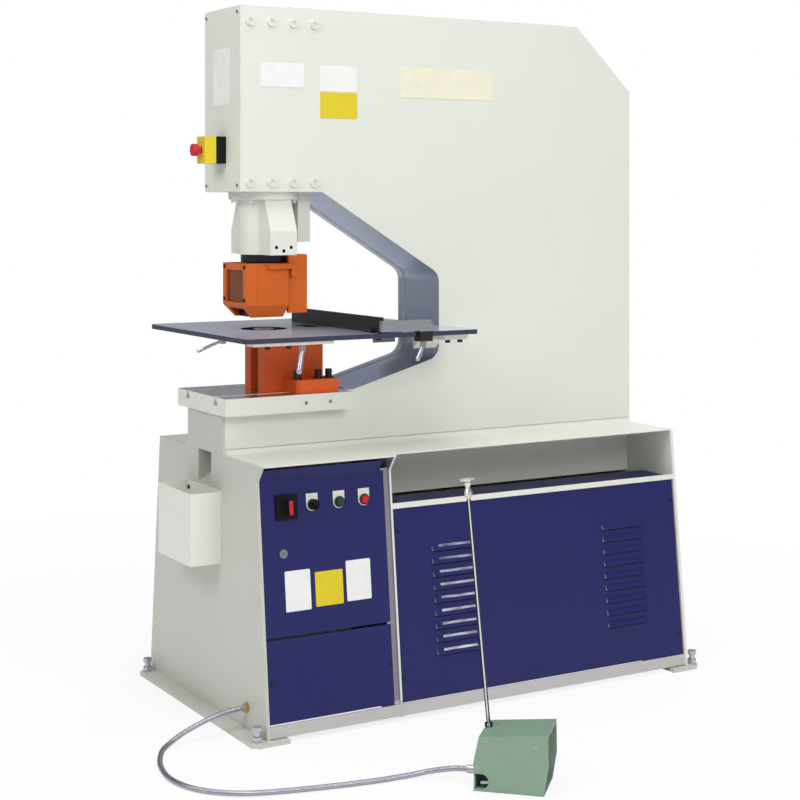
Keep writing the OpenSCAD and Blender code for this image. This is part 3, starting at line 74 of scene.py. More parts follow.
# The foot switch: where its rod's painted reflection is brightest and how narrowly, its knob's
# height, the way its near face points, and the rivets on that face
ROD_FRONT = (-0.564, -0.826, 0.0)
ROD_BRIGHT = 0.94
KNOB_H = 0.045
PEDAL_FACE = Vector((-0.7009, -0.7133, 0.0))
PEDAL_RIVETS = ((0.27333, -0.89611, 0.11095), (0.35225, -0.97366, 0.10722))

# The louvres: how far up the slope they reach, their pitch, where the painted highlight on a crown
# lies in it, the x span of the front bank's painted crown highlights, and how far out and how
# bright the painted highlight on a louvre's end is
LOUVRE_S = (0.143, 0.437)
LOUVRE_PITCH = 0.0327
LOUVRE_GLINT_BAND = (0.0118, 0.0175)
LOUVRE_GLINT_X = (0.503, 0.605)
LOUVRE_ROOT = -0.0035
LOUVRE_END_GLINT = 0.35

# Where a second finish starts and ends on a solid
THROAT_X = (0.275, 0.66)
THROAT_Z = (0.8, 1.335)
BOLSTER_TOP_Z = 0.79
# WING_HOLE_X, WING_HOLE_Z and WING_HOLE_Y bound the painted shade in the wings' blind holes
WING_HOLE_X = 0.028
WING_HOLE_Z = (0.004, 0.027)
WING_HOLE_Y = (0.0125, 0.0003)
HANDLE_HALF_W = 0.0048
HANDLE_HALF_H = 0.0165
HANDLE_DEPTH = 0.0012
TABLE_GAP = 0.002
GLAND_HEX_X = (-0.0132, -0.004)
BEZEL_OUT = 0.0004
# JAMB_X and RAIL_Z bound the painted shade on the divider's jamb and on the floor rail
JAMB_X = (0.35, 0.3662)
RAIL_Z = 0.05

# Screws on the sloping panels as x and up the slope, the one inside the slug box, and how far the
# cover's and the window's screws lie in from their edges
LOWER_SCREWS = ((0.0175, 0.142), (0.344, 0.143))
PUMP_SCREWS = ((0.381, 0.466), (0.381, 0.101), (1.272, 0.466), (1.272, 0.100))
BOX_SCREW = Vector((-0.0075, 0.096, 0.5505))
COVER_INSET_Y = 0.014
COVER_INSET_Z = 0.016
WINDOW_SCREW_Y = 0.061
WINDOW_INSET_Z = (0.046, 0.01)

# A screw's head of radius 1 as radius and height, and its number of sides
HEAD_PROFILE = ((1.0, -0.1), (1.0, 0.25), (0.9, 0.5), (0.7, 0.62), (0.48, 0.64), (0.46, 0.25))
HEAD_SIDES = 20

# Bare plates as name, x from and to, height from and to, and finish; the door's heights run up
# its slope, and the front plate has a centre, a width and a height
SIDE_PLATES = (
    ("side_plate_small", 0.102, 0.226, 1.595, 1.657, "white_film"),
    ("side_field_upper", 0.273, 0.383, 1.5885, 1.655, "white_film"),
    ("side_field_lower", 0.273, 0.383, 1.518, 1.5865, "yellow_film"),
    ("side_plate_long", 0.517, 0.813, 1.580, 1.662, "cream_film"),
)
DOOR_PLATES = (
    ("door_plate_left", 0.061, 0.130, 0.3045, 0.402, "white_film"),
    ("door_plate_middle", 0.143, 0.220, 0.308, 0.392, "yellow_film"),
    ("door_plate_right", 0.230, 0.299, 0.311, 0.410, "white_film"),
)
FRONT_PLATE_AT = (0.006, 1.623)
FRONT_PLATE_SIZE = (0.098, 0.146)
SIDE_CORNER = 0.004
FRONT_CORNER = 0.006
DOOR_CORNER = 0.003
CORNER_STEPS = 5
PLATE_LIP = 0.0006

# The hose's route from its gland to the foot switch, its steps between two points, its sides and
# the depth of its ribs
HOSE_ROUTE = [
    (-0.022, -0.257, 0.062), (-0.053, -0.257, 0.060), (-0.085, -0.256, 0.054),
    (-0.114, -0.253, 0.045), (-0.142, -0.250, 0.034), (-0.168, -0.249, 0.024),
    (-0.192, -0.254, 0.015), (-0.216, -0.268, 0.009), (-0.240, -0.292, 0.007),
    (-0.258, -0.322, 0.0065), (-0.274, -0.356, 0.0065), (-0.287, -0.392, 0.0065),
    (-0.296, -0.430, 0.0065), (-0.301, -0.468, 0.0065), (-0.299, -0.506, 0.0065),
    (-0.291, -0.542, 0.0065), (-0.276, -0.576, 0.0065), (-0.254, -0.606, 0.0065),
    (-0.226, -0.632, 0.0065), (-0.190, -0.655, 0.0065), (-0.148, -0.672, 0.0065),
    (-0.100, -0.687, 0.0065), (-0.072, -0.694, 0.0065), (-0.046, -0.701, 0.0065),
    (-0.014, -0.708, 0.0065), (0.018, -0.715, 0.0065), (0.050, -0.721, 0.0065),
    (0.084, -0.727, 0.0065), (0.118, -0.731, 0.0065), (0.150, -0.733, 0.0065),
    (0.178, -0.740, 0.0085), (0.203, -0.751, 0.013), (0.222, -0.768, 0.019),
    (0.239, -0.787, 0.0245), (0.255, -0.805, 0.0285), (0.27034, -0.82307, 0.030),
]
HOSE_STEPS = 6
HOSE_SIDES = 16
HOSE_RIB = 0.06

# Relief and gloss that finishes share: the radius that edges are shaded with, the strength of
# orange peel, and the coat over enamel
EDGE = 0.0014
PEEL = 0.12
ENAMEL_COAT = 0.2
COAT_ROUGH = 0.18

# The studio: lamps as name, place, size and power, with what they aim at; the sky's tint and its
# strength, also as mirrored; the floor and how much of it glows near and far; the camera
LAMPS = (
    ("key", (0.6, -5.3, 3.6), 2.6, 112),
    ("fill", (-3.6, -1.5, 3.7), 2.2, 78),
    ("top", (0.2, -0.6, 5.2), 3.2, 90),
    ("back", (3.6, 3.2, 3.4), 2.4, 40),
)
LAMP_AIM = Vector((0.55, -0.1, 0.9))
SKY_TINT = (0.95, 0.97, 1.0, 1)
SKY_LIT = 0.42
SKY_MIRRORED = 0.32
FLOOR_HALF = 30
FLOOR_DROP = 0.0006
FLOOR_GLOW = 0.8
FLOOR_GLOW_RISE = 0.07
CAMERA_AT = (-1.7353, -3.93746, 1.29167)
CAMERA_TURN = -30.4533
CAMERA_LENS = 74.458
CAMERA_SENSOR = 36
CAMERA_SHIFT = -0.2440
CAMERA_REACH = 100


def linear(red, green, blue):
    """A colour given as 0 to 255 on screen, as the linear values that shaders use."""
    def one(v):
        v /= 255
        return v / 12.92 if v <= 0.04045 else ((v + 0.055) / 1.055) ** 2.4
    return (one(red), one(green), one(blue), 1.0)


def shade(colour, factor):
    """A colour made lighter or darker."""
    return tuple(min(1.0, c * factor) for c in colour[:3]) + (1.0,)


def on_panel(x, s, out=0.0):
    """A point by the sloping panels: x along the machine, s up the slope, out from the plane."""
    c, k = math.cos(FLARE), math.sin(FLARE)
    return Vector((x, -BASE_HALF - out * c + s * k, out * k + s * c))


def outward(spot):
    """How far a point, or a shader's point, stands out from the sloping panels' plane."""
    return spot[2] * math.sin(FLARE) - (spot[1] + BASE_HALF) * math.cos(FLARE)


class Sock:
    """A node socket that takes part in sums, so that a shader's arithmetic reads as a formula."""

    def __init__(self, web, socket):
        self.web = web
        self.socket = socket

    def math(self, operation, a, b):
        return self.web.add("ShaderNodeMath", {0: a, 1: b}, operation=operation)

    def __add__(self, other):
        return self.math("ADD", self, other)

    def __radd__(self, other):
        return self.math("ADD", other, self)

    def __sub__(self, other):
        return self.math("SUBTRACT", self, other)

    def __rsub__(self, other):
        return self.math("SUBTRACT", other, self)

    def __mul__(self, other):
        return self.math("MULTIPLY", self, other)

    def __mod__(self, other):
        return self.math("MODULO", self, other)

    def __abs__(self):
        return self.math("ABSOLUTE", self, 0.0)

    def above(self, other):
        return self.math("GREATER_THAN", self, other)

    def below(self, other):
        return self.math("LESS_THAN", self, other)

    def between(self, low, high):
        return self.above(low) * self.below(high)


class Web:
    """One material and the nodes that feed its shader."""

    def __init__(self, name, **constants):
        self.material = bpy.data.materials.new(PREFIX + name)
        self.material.use_nodes = True
        self.tree = self.material.node_tree
        self.shader = self.tree.nodes["Principled BSDF"]
        for key, value in constants.items():
            self.shader.inputs[key.replace("_", " ")].default_value = value

    def add(self, kind, inputs=None, output=0, **settings):
        """Adds any node, sets it up, feeds its inputs and gives one of its outputs."""
        node = self.tree.nodes.new(kind)
        for key, value in settings.items():
            setattr(node, key, value)
        for key, value in (inputs or {}).items():
            self.feed(node.inputs[key], value)
        return Sock(self, node.outputs[output])

    def feed(self, socket, value):
        if isinstance(value, Sock):
            self.tree.links.new(value.socket, socket)
        else:
            socket.default_value = value

    def place(self, stretch=(1.0, 1.0, 1.0)):
        """The point on the object, stretched along its axes."""
        spot = self.add("ShaderNodeTexCoord", output="Object")
        return self.add("ShaderNodeVectorMath", {0: spot, 1: stretch}, operation="MULTIPLY")

    def part(self, axis):
        """One coordinate of the point on the object."""
        spot = self.add("ShaderNodeTexCoord", output="Object")
        return self.add("ShaderNodeSeparateXYZ", {0: spot}, output=axis)

    def facing(self, axis):
        """How far the surface faces along an axis of the object, either way."""
        normal = self.add("ShaderNodeTexCoord", output="Normal")
        return abs(self.add("ShaderNodeSeparateXYZ", {0: normal}, output=axis))

    def outwards(self):
        """How far the point stands out from the sloping panels' plane."""
        return outward((0.0, self.part("Y"), self.part("Z")))

    def noise(self, place, scale, detail=2.0, rough=0.5):
        return self.add(
            "ShaderNodeTexNoise",
            {"Vector": place, "Scale": scale, "Detail": detail, "Roughness": rough},
        )

    def broad(self):
        """The slow drift over a painted face."""
        return self.noise(self.place(), 2.6, 3.0)

    def peel(self):
        """The orange peel of sprayed enamel."""
        return self.noise(self.place(), 420.0)

    def marks(self, stretch):
        """Grinding marks along one direction."""
        return self.noise(self.place(stretch), 60.0, 5.0, 0.65)

    def mix(self, low, high, factor, blend="MIX"):
        """A colour between two others, or a blend of them."""
        return self.add(
            "ShaderNodeMix", {0: factor, 6: low, 7: high}, output=2,
            data_type="RGBA", blend_type=blend,
        )

    def drift(self, colour, low, high, factor):
        """A colour that drifts between two shades of itself."""
        return self.mix(shade(colour, low), shade(colour, high), factor)

    def bump(self, height, strength, distance, edge=0.0):
        """Relief in the normal, on edges that are rounded over a radius."""
        inputs = {"Height": height, "Strength": strength, "Distance": distance}
        if edge:
            inputs["Normal"] = self.add("ShaderNodeBevel", {"Radius": edge}, samples=4)
        return self.add("ShaderNodeBump", inputs)

    def set(self, **values):
        for key, value in values.items():
            self.feed(self.shader.inputs[key.replace("_", " ")], value)
        return self.material


def swayed(value, noise, amount):
    """A value that a noise sways by half an amount either way."""
    return value + (noise - 0.5) * amount


def shared(pair, share):
    """A value between two others."""
    return pair[0] + share * (pair[1] - pair[0])


def paint(name, colour, rough, coat, drift=0.03, shine=0.5, glint=None):
    """Sprayed enamel: a drift of shade, orange peel, uneven gloss, and a mask for painted
    highlights.
    """
    web = Web(name, Coat_Weight=coat, Coat_Roughness=COAT_ROUGH, Specular_IOR_Level=shine)
    broad, peel = web.broad(), web.peel()
    tone = web.drift(colour, 1 - drift, 1 + drift, broad)
    return web.set(
        # Where the glint mask is 1, near-white paint stands in for a highlight: painted highlight
        Base_Color=web.mix(tone, linear(240, 240, 240), glint(web)) if glint else tone,
        Roughness=swayed(swayed(rough, broad, 0.12), peel, 0.06),
        Normal=web.bump(peel, PEEL, 0.0004, EDGE),
    )


def steel(name, colour, rough, stretch, depth=0.12, drift=0.16):
    """Bare steel with grinding marks along one direction."""
    web = Web(name, Metallic=1.0)
    marks = web.marks(stretch)
    stain = web.noise(web.place(), 7.0, 4.0)
    return web.set(
        Base_Color=web.drift(colour, 1 - drift, 1 + drift, marks * 0.6 + stain * 0.4),
        Roughness=swayed(swayed(rough, marks, 0.22), stain, 0.12),
        Normal=web.bump(marks, depth, 0.0003),
    )


def two_finish(name, first, second, metal, mask, rough):
    """One colour over another where a mask is 1, each enamel or metal, with its own gloss."""
    web = Web(name, Coat_Roughness=COAT_ROUGH)
    share = mask(web)
    metallic = shared(metal, share)
    broad, peel, marks = web.broad(), web.peel(), web.marks((0.5, 6.0, 6.0))
    grain = marks * metallic + broad * (1.0 - metallic)
    tone = web.mix((0.96, 0.96, 0.96, 1), (1.04, 1.04, 1.04, 1), grain)
    return web.set(
        Base_Color=web.mix(web.mix(first, second, share), tone, 1.0, "MULTIPLY"),
        Metallic=metallic,
        Roughness=swayed(shared(rough, share), grain, 0.12),
        Coat_Weight=ENAMEL_COAT - metallic * ENAMEL_COAT,
        Normal=web.bump(marks * metallic + peel * (1.0 - metallic), 0.1, 0.0003, EDGE),
    )


def plastic(name, colour, rough, shine=0.5):
    """Moulded plastic with a fine grain."""
    web = Web(name, Coat_Weight=0.3 * shine, Specular_IOR_Level=shine)
    grain = web.noise(web.place(), 900.0)
    return web.set(
        Base_Color=web.drift(colour, 0.93, 1.05, web.noise(web.place(), 30.0)),
        Roughness=swayed(rough, grain, 0.1),
        Normal=web.bump(grain, 0.1, 0.0002),
    )


def hammered(name, colour):
    """Hammer-finish enamel on a casting."""
    web = Web(name, Coat_Weight=0.25, Coat_Roughness=0.2)
    cells = web.add(
        "ShaderNodeTexVoronoi", {"Vector": web.place(), "Scale": 170.0, "Randomness": 1.0}
    )
    broad = web.noise(web.place(), 14.0, 3.0)
    return web.set(
        Base_Color=web.drift(colour, 0.92, 1.07, broad * 0.6 + cells * 0.5),
        Roughness=swayed(0.42, broad, 0.1),
        Normal=web.bump(cells, 0.18, 0.0006, EDGE),
    )


def smoked(name, colour, alpha):
    """Smoked clear sheet."""
    web = Web(name, Roughness=0.06, IOR=1.49, Alpha=alpha)
    haze = web.noise(web.place(), 25.0, 3.0)
    return web.set(Base_Color=web.drift(colour, 0.8, 1.15, haze))


# The masks: each gives 1 where its solid has the second finish, which on some solids is
# painted shade, a painted reflection or painted highlights


def throat_edge(web):
    """The side plates' cut edges round the throat."""
    spot = web.part("X").between(*THROAT_X) * web.part("Z").between(*THROAT_Z)
    return web.facing("Y").below(0.5) * spot


def bolster_top(web):
    """The bolster's ground top."""
    return web.facing("Z").above(0.9) * web.part("Z").above(BOLSTER_TOP_Z)


def wing_hole_painted_shade(web):
    """Painted shade in the blind holes of the ram housing's wings, found by what lies just under
    the wings' faces.
    """
    low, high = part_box("ram_housing")
    x = abs(web.part("X") - (low[0] + high[0]) / 2)
    z = web.part("Z").between(low[2] + WING_HOLE_Z[0], low[2] + WING_HOLE_Z[1])
    y = abs(web.part("Y")).between(high[1] - WING_HOLE_Y[0], high[1] - WING_HOLE_Y[1])
    return x.below(WING_HOLE_X) * z * y


def handle_mark(web):
    """The strip along the isolator handle's grip."""
    low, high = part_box("isolator_handle")
    x = abs(web.part("X") - (low[0] + high[0]) / 2)
    z = abs(web.part("Z") - (low[2] + high[2]) / 2)
    crest = max(outward(v.co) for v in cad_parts["isolator_handle"].data.vertices)
    face = web.outwards().above(crest - HANDLE_DEPTH)
    return x.below(HANDLE_HALF_W) * z.below(HANDLE_HALF_H) * face


def rod_painted_reflection(web):
    """Painted reflection on the flanks of the foot switch's rod: dark where it would mirror the
    dark part of the room.
    """
    normal = web.add("ShaderNodeTexCoord", output="Normal")
    front = web.add(
        "ShaderNodeVectorMath", {0: normal, 1: ROD_FRONT}, output="Value", operation="DOT_PRODUCT"
    )
    rod = web.part("Z").below(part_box("pedal_rod")[1][2] - KNOB_H)
    return abs(front).below(ROD_BRIGHT) * rod


def below_table(web):
    """The foot of the gauge's carriage, up to just above the table."""
    return web.part("Z").below(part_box("work_table")[1][2] + TABLE_GAP)


def upright_edge(web):
    """The faces that stand upright."""
    return web.facing("Z").below(0.5)


def gland_hex(web):
    """The brass hexagon of the hose's gland."""
    return web.part("X").between(*GLAND_HEX_X)


def bezel_ring(web):
    """What stands out from the legends: the controls' bezels."""
    return web.outwards().above(BEZEL_OUT)


def painted_shade_rails(web):
    """Painted shade on the divider's jamb in full and on the rail along the floor by half."""
    rise = web.part("Z")
    return web.part("X").between(*JAMB_X) * rise.above(RAIL_Z) + rise.below(RAIL_Z) * 0.5


def louvre_painted_glints(web):
    """Painted highlights on the pressed sheet of the front louvres' crowns and of every louvre's
    end.
    """
    rise = (web.part("Y") + BASE_HALF) * math.sin(FLARE) + web.part("Z") * math.cos(FLARE)
    climb = rise - LOUVRE_S[0]
    # The painted highlight on each front crown, streaked and fading up the slope
    crown = (climb % LOUVRE_PITCH).between(*LOUVRE_GLINT_BAND) * web.part("X").between(*LOUVRE_GLINT_X)
    streak = web.noise(web.place((1.0, 0.2, 6.0)), 26.0, 1.0) * 1.6 - 0.3
    fade = 1.25 - climb * 2.4
    # A weaker painted highlight on every louvre's end
    end = web.facing("X").above(0.5) * web.outwards().above(LOUVRE_ROOT) * LOUVRE_END_GLINT
    return (crown * streak * fade + end) * rise.between(*LOUVRE_S)


def link(obj):
    bpy.context.scene.collection.objects.link(obj)
    return obj


def mesh_object(name, vertices, faces, material=None, edges=()):
    mesh = bpy.data.meshes.new(name)
    mesh.from_pydata([tuple(v) for v in vertices], list(edges), list(faces))
    mesh.update()
    if material:
        mesh.materials.append(material)
    return link(bpy.data.objects.new(name, mesh))


def lofted(name, rings, material=None):
    """A closed solid through rings of points, with flat ends."""
    count, last = len(rings[0]), len(rings) - 1
    faces = [list(range(count))[::-1], list(range(last * count, (last + 1) * count))]
    for k in range(last):
        for i in range(count):
            j = (i + 1) % count
            faces.append([k * count + i, k * count + j, (k + 1) * count + j, (k + 1) * count + i])
    return mesh_object(name, sum(rings, []), faces, material)


def slab(name, centre, axes, width, height, corner, material):
    """A thin plate with round corners, lying on a face, with a small bevel round its front."""
    right, up, out = axes
    thick = bpy.context.scene.punch_sizes.plate
    lip = min(thick * 0.4, PLATE_LIP)

    def ring(inset, depth):
        loop = []
        r = max(corner - inset, 0.0002)
        x, y = width / 2 - inset - r, height / 2 - inset - r
        for cx, cy, start in ((x, y, 0), (-x, y, 90), (-x, -y, 180), (x, -y, 270)):
            for i in range(CORNER_STEPS + 1):
                a = math.radians(start + 90 * i / CORNER_STEPS)
                across, rise = cx + r * math.cos(a), cy + r * math.sin(a)
                loop.append(centre + right * across + up * rise + out * depth)
        return loop

    return lofted(name, [ring(0, 0), ring(0, thick - lip), ring(lip, thick)], material)


def screw_head():
    """A button head with a round socket, of radius 1, standing on the origin."""
    turns = [2 * math.pi * i / HEAD_SIDES for i in range(HEAD_SIDES)]
    rings = [[(r * math.cos(a), r * math.sin(a), z) for a in turns] for r, z in HEAD_PROFILE]
    return lofted("screw_head", rings)


def smooth_route(points, steps):
    """A smooth curve through points, with the ends kept straight."""
    pts = [Vector(p) for p in points]
    pts = [pts[0] * 2 - pts[1]] + pts + [pts[-1] * 2 - pts[-2]]
    out = []
    for i in range(1, len(pts) - 2):
        a, b, c, d = pts[i - 1:i + 3]
        slope, bend, twist = c - a, 2 * a - 5 * b + 4 * c - d, 3 * b - a - 3 * c + d
        for k in range(steps):
            t = k / steps
            out.append(0.5 * (2 * b + slope * t + bend * t * t + twist * t ** 3))
    return out + [pts[-2]]


def nodes_tree(name, inputs):
    """An empty geometry node tree with its inputs, and the identifier of each."""
    tree = bpy.data.node_groups.new(name, "GeometryNodeTree")
    tree.interface.new_socket("Geometry", in_out="INPUT", socket_type="NodeSocketGeometry")
    ids = {
        label: tree.interface.new_socket(label, in_out="INPUT", socket_type=kind).identifier
        for label, kind in inputs
    }
    tree.interface.new_socket("Geometry", in_out="OUTPUT", socket_type="NodeSocketGeometry")
    return tree, ids


def plant(tree, **kinds):
    """New nodes in a tree, under the names that the caller gives them."""
    return SimpleNamespace(**{name: tree.nodes.new(kind) for name, kind in kinds.items()})


def chain(tree, *links):
    """Links nodes: each link is a node, its output, the next node and its input."""
    for source, output, target, taken in links:
        tree.links.new(source.outputs[output], target.inputs[taken])


def evaluated(host, name):
    """What a host's modifiers make, as a plain mesh object; the host goes away."""
    graph = bpy.context.evaluated_depsgraph_get()
    mesh = bpy.data.meshes.new_from_object(host.evaluated_get(graph), depsgraph=graph)
    mesh.name = name
    bpy.data.objects.remove(host)
    return link(bpy.data.objects.new(name, mesh))


def colour_value(name, description, *screen):
    return bpy.props.FloatVectorProperty(
        name=name, description=description, subtype="COLOR", size=4, default=linear(*screen),
        min=0, max=1)


def length_value(name, description, default, low, high):
    return bpy.props.FloatProperty(
        name=name, description=description, default=default, unit="LENGTH", min=low, max=high)


class PUNCH_PG_colours(bpy.types.PropertyGroup):
    """Paints and finishes."""

    white: colour_value("White", "Enamel of the frame and base", 226, 228, 217)
    blue: colour_value("Blue", "Enamel of the doors and panels", 30, 32, 94)
    orange: colour_value("Orange", "Enamel of the stripper", 212, 100, 28)
    green: colour_value("Green", "Hammer finish of the foot switch", 130, 156, 134)
    steel: colour_value("Steel", "Ground bare steel", 176, 182, 192)
    black: colour_value("Black", "Blackened steel and black plastic", 16, 16, 19)
    red: colour_value("Red", "Stop buttons and isolator handle", 200, 14, 44)
    yellow: colour_value("Yellow", "Emergency stop housing and plain plates", 226, 202, 26)
    brass: colour_value("Brass", "Hose gland", 206, 172, 92)


class PUNCH_PG_sizes(bpy.types.PropertyGroup):
    """Sizes of the pieces that dress the solids."""

    panel_screw: length_value(
        "Panel screw radius", "Head radius of the cabinet's screws", 0.0055, 0.002, 0.02)
    cover_screw: length_value(
        "Cover screw radius", "Head radius of the head cover's screws", 0.006, 0.002, 0.02)
    rivet: length_value(
        "Rivet radius", "Head radius of the foot switch's rivets", 0.0025, 0.001, 0.01)
    plate: length_value(
        "Plate thickness", "Thickness of the bare plates", 0.0012, 0.0004, 0.005)
    hose: length_value(
        "Hose diameter", "Outside diameter of the flexible metal hose", 0.0128, 0.006, 0.03)
    hose_pitch: length_value(
        "Hose pitch", "Distance between the hose's ribs", 0.0042, 0.001, 0.02)


def finishes():
    """Every material of the machine by name, made once."""
    stock = {m.name[len(PREFIX):]: m for m in bpy.data.materials if m.name.startswith(PREFIX)}
    if stock:
        return stock
    colours = bpy.context.scene.punch_colours
    white, blue, orange, green, ground, black, red, yellow, brass = (
        tuple(getattr(colours, key)) for key in
        ("white", "blue", "orange", "green", "steel", "black", "red", "yellow", "brass"))
    gloss = {"rough": 0.42, "coat": ENAMEL_COAT}
    satin = {"coat": 0.08, "drift": 0.05, "shine": 0.3}
    both_paint, both_metal, to_metal, to_paint = (0.0, 0.0), (1.0, 1.0), (0.0, 1.0), (1.0, 0.0)
    made = [
        paint("white_enamel", white, **gloss),
        paint("blue_enamel", blue, 0.45, **satin),
        # Blue enamel with painted highlights on the louvres' crowns and ends
        paint("blue_louvred", blue, 0.45, **satin, glint=louvre_painted_glints),
        # A darker copy of the white enamel: painted shade on the front end plate and the foot
        # flanges
        paint("grey_white_enamel", shade(white, 0.75), **gloss),
        # A lighter copy of the white enamel: painted light on the slug box
        paint("bright_white_enamel", shade(white, 1.06), **gloss),
        paint("orange_enamel", orange, 0.4, **satin),
        paint("orange_red", linear(226, 94, 34), 0.4, **satin),
        # Black in the wings' blind holes: painted shade
        two_finish("white_dark_holes", white, black, both_paint, wing_hole_painted_shade, (0.42, 0.4)),
        two_finish("handle_finish", black, red, both_paint, handle_mark, (0.4, 0.32)),
        # Chrome with a painted reflection: a bright face and dark flanks
        two_finish("chrome_rod", linear(226, 225, 218), linear(46, 50, 58), both_metal,
                   rod_painted_reflection, (0.1, 0.14)),
        two_finish("white_bare_throat", white, linear(190, 196, 204), to_metal,
                   throat_edge, (0.42, 0.4)),
        two_finish("white_bare_top", white, linear(206, 208, 212), to_metal,
                   bolster_top, (0.42, 0.24)),
        # Lilac grey on the jamb and the floor rail: painted shade
        two_finish("white_jamb", white, linear(142, 136, 148), both_paint,
                   painted_shade_rails, (0.42, 0.42)),
        two_finish("steel_black_foot", linear(214, 216, 222), black, to_paint,
                   below_table, (0.18, 0.42)),
        two_finish("gland_metal", linear(196, 198, 204), brass, both_metal,
                   gland_hex, (0.24, 0.26)),
        two_finish("legend_metal", linear(228, 225, 214), black, both_paint,
                   bezel_ring, (0.36, 0.35)),
        paint("cream_enamel", linear(226, 222, 200), 0.45, 0.15),
        hammered("green_hammer", green),
        steel("ground_steel", ground, 0.34, (0.4, 6.0, 6.0)),
        two_finish("table_steel", linear(206, 210, 228), linear(96, 102, 126), (0.62, 1.0),
                   upright_edge, (0.2, 0.24)),
        steel("throat_steel", linear(188, 196, 212), 0.42, (8.0, 0.3, 8.0), 0.1, 0.12),
        steel("bright_steel", linear(194, 197, 204), 0.16, (3.0, 3.0, 3.0), 0.04, 0.06),
        steel("hose_steel", linear(174, 176, 184), 0.2, (5.0, 5.0, 5.0), 0.1, 0.1),
        paint("black_oxide", black, 0.4, 0.1, 0.15),
        plastic("black_plastic", shade(black, 0.6), 0.45, 0.2),
        plastic("red_plastic", red, 0.3),
        plastic("green_plastic", linear(16, 66, 50), 0.32),
        plastic("yellow_plastic", yellow, 0.4),
        plastic("white_film", linear(240, 240, 236), 0.45),
        plastic("yellow_film", yellow, 0.42),
        plastic("cream_film", linear(238, 234, 208), 0.45),
        smoked("smoked_sheet", linear(150, 86, 58), 0.5),
    ]
    return {m.name[len(PREFIX):]: m for m in made}


NODE_FINISH = {
    "white_enamel": "frame_web top_cover head_front_cover head_bolts ring_flange guide_plate "
                    "rear_end_plate deck far_panel table_brackets",
    # The slug box gets painted light: a lighter copy of the white
    "bright_white_enamel": "slug_box",
    # The front end plate and the foot flanges get painted shade: a darker copy of the white
    "grey_white_enamel": "front_end_plate foot_flanges",
    # The ram housing's blind holes carry painted shade
    "white_dark_holes": "ram_housing",
    "white_bare_throat": "side_plate_near side_plate_far",
    "white_bare_top": "bolster",
    # The side frame's jamb and floor rail carry painted shade
    "white_jamb": "side_frame",
    "cream_enamel": "table_rail",
    "blue_enamel": "electrical_door lower_panel oil_tank",
    # The pump panel's louvres carry painted highlights
    "blue_louvred": "pump_panel",
    "orange_enamel": "stripper_column stripper_guard",
    "orange_red": "die_holder",
    "green_hammer": "pedal_guard",
    "ground_steel": "cylinder_block ram punch die power_unit door_hinge_pins treadle",
    "bright_steel": "table_lever_near table_lever_front gauge_lever levelling_bolts door_lock",
    "steel_black_foot": "gauge_carriage",
    "legend_metal": "control_bezels",
    "table_steel": "work_table",
    "throat_steel": "throat_liner",
    # The rod's dark flanks are a painted reflection
    "chrome_rod": "pedal_rod",
    "gland_metal": "hose_glands",
    "hose_steel": "hose",
    "black_oxide": "coupling_nut stripper_foot cap_screws gauge_fence",
    "black_plastic": "isolator_plate selector_knob estop_base",
    "red_plastic": "stop_button estop_button",
    "handle_finish": "isolator_handle",
    "green_plastic": "start_button",
    "yellow_plastic": "estop_cover",
    "smoked_sheet": "stripper_window",
}


class PUNCH_OT_finishes(bpy.types.Operator):
    """Gives every solid its finish"""

    bl_idname = "punch.finishes"
    bl_label = "Finishes"

    def execute(self, context):
        stock = finishes()
        for finish, names in NODE_FINISH.items():
            for name in names.split():
                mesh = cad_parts[name].data
                mesh.materials.clear()
                mesh.materials.append(stock[finish])
        return {"FINISHED"}


def sweep_tree():
    """The node tree that sweeps a ribbed tube along a path, and its inputs' identifiers."""
    tree, ids = nodes_tree("hose_sweep", [
        ("Radius", "NodeSocketFloat"), ("Pitch", "NodeSocketFloat"), ("Step", "NodeSocketFloat"),
        ("Material", "NodeSocketMaterial")])
    n = plant(
        tree, given="NodeGroupInput", out="NodeGroupOutput", curve="GeometryNodeMeshToCurve",
        resample="GeometryNodeResampleCurve", sweep="GeometryNodeCurveToMesh",
        ring="GeometryNodeCurvePrimitiveCircle", along="GeometryNodeSplineParameter",
        turns="ShaderNodeMath", angle="ShaderNodeMath", wave="ShaderNodeMath",
        depth="ShaderNodeMath", soft="GeometryNodeSetShadeSmooth",
        real="GeometryNodeRealizeInstances", coat="GeometryNodeSetMaterial")
    n.resample.mode = "LENGTH"
    n.ring.inputs["Resolution"].default_value = HOSE_SIDES
    n.sweep.inputs["Fill Caps"].default_value = True
    n.turns.operation = "DIVIDE"
    n.angle.operation = "MULTIPLY"
    n.angle.inputs[1].default_value = 2 * math.pi
    n.wave.operation = "SINE"
    n.depth.operation = "MULTIPLY_ADD"
    n.depth.inputs[1].default_value = HOSE_RIB
    n.depth.inputs[2].default_value = 1 - HOSE_RIB
    chain(
        tree,
        (n.given, "Geometry", n.curve, "Mesh"), (n.curve, 0, n.resample, "Curve"),
        (n.given, "Step", n.resample, "Length"), (n.resample, 0, n.sweep, "Curve"),
        (n.given, "Radius", n.ring, "Radius"), (n.ring, 0, n.sweep, "Profile Curve"),
        (n.along, "Length", n.turns, 0), (n.given, "Pitch", n.turns, 1),
        (n.turns, 0, n.angle, 0), (n.angle, 0, n.wave, 0), (n.wave, 0, n.depth, 0),
        (n.depth, 0, n.sweep, "Scale"), (n.sweep, 0, n.soft, "Geometry"),
        (n.soft, 0, n.real, 0), (n.real, 0, n.coat, "Geometry"),
        (n.given, "Material", n.coat, "Material"), (n.coat, 0, n.out, "Geometry"))
    return tree, ids


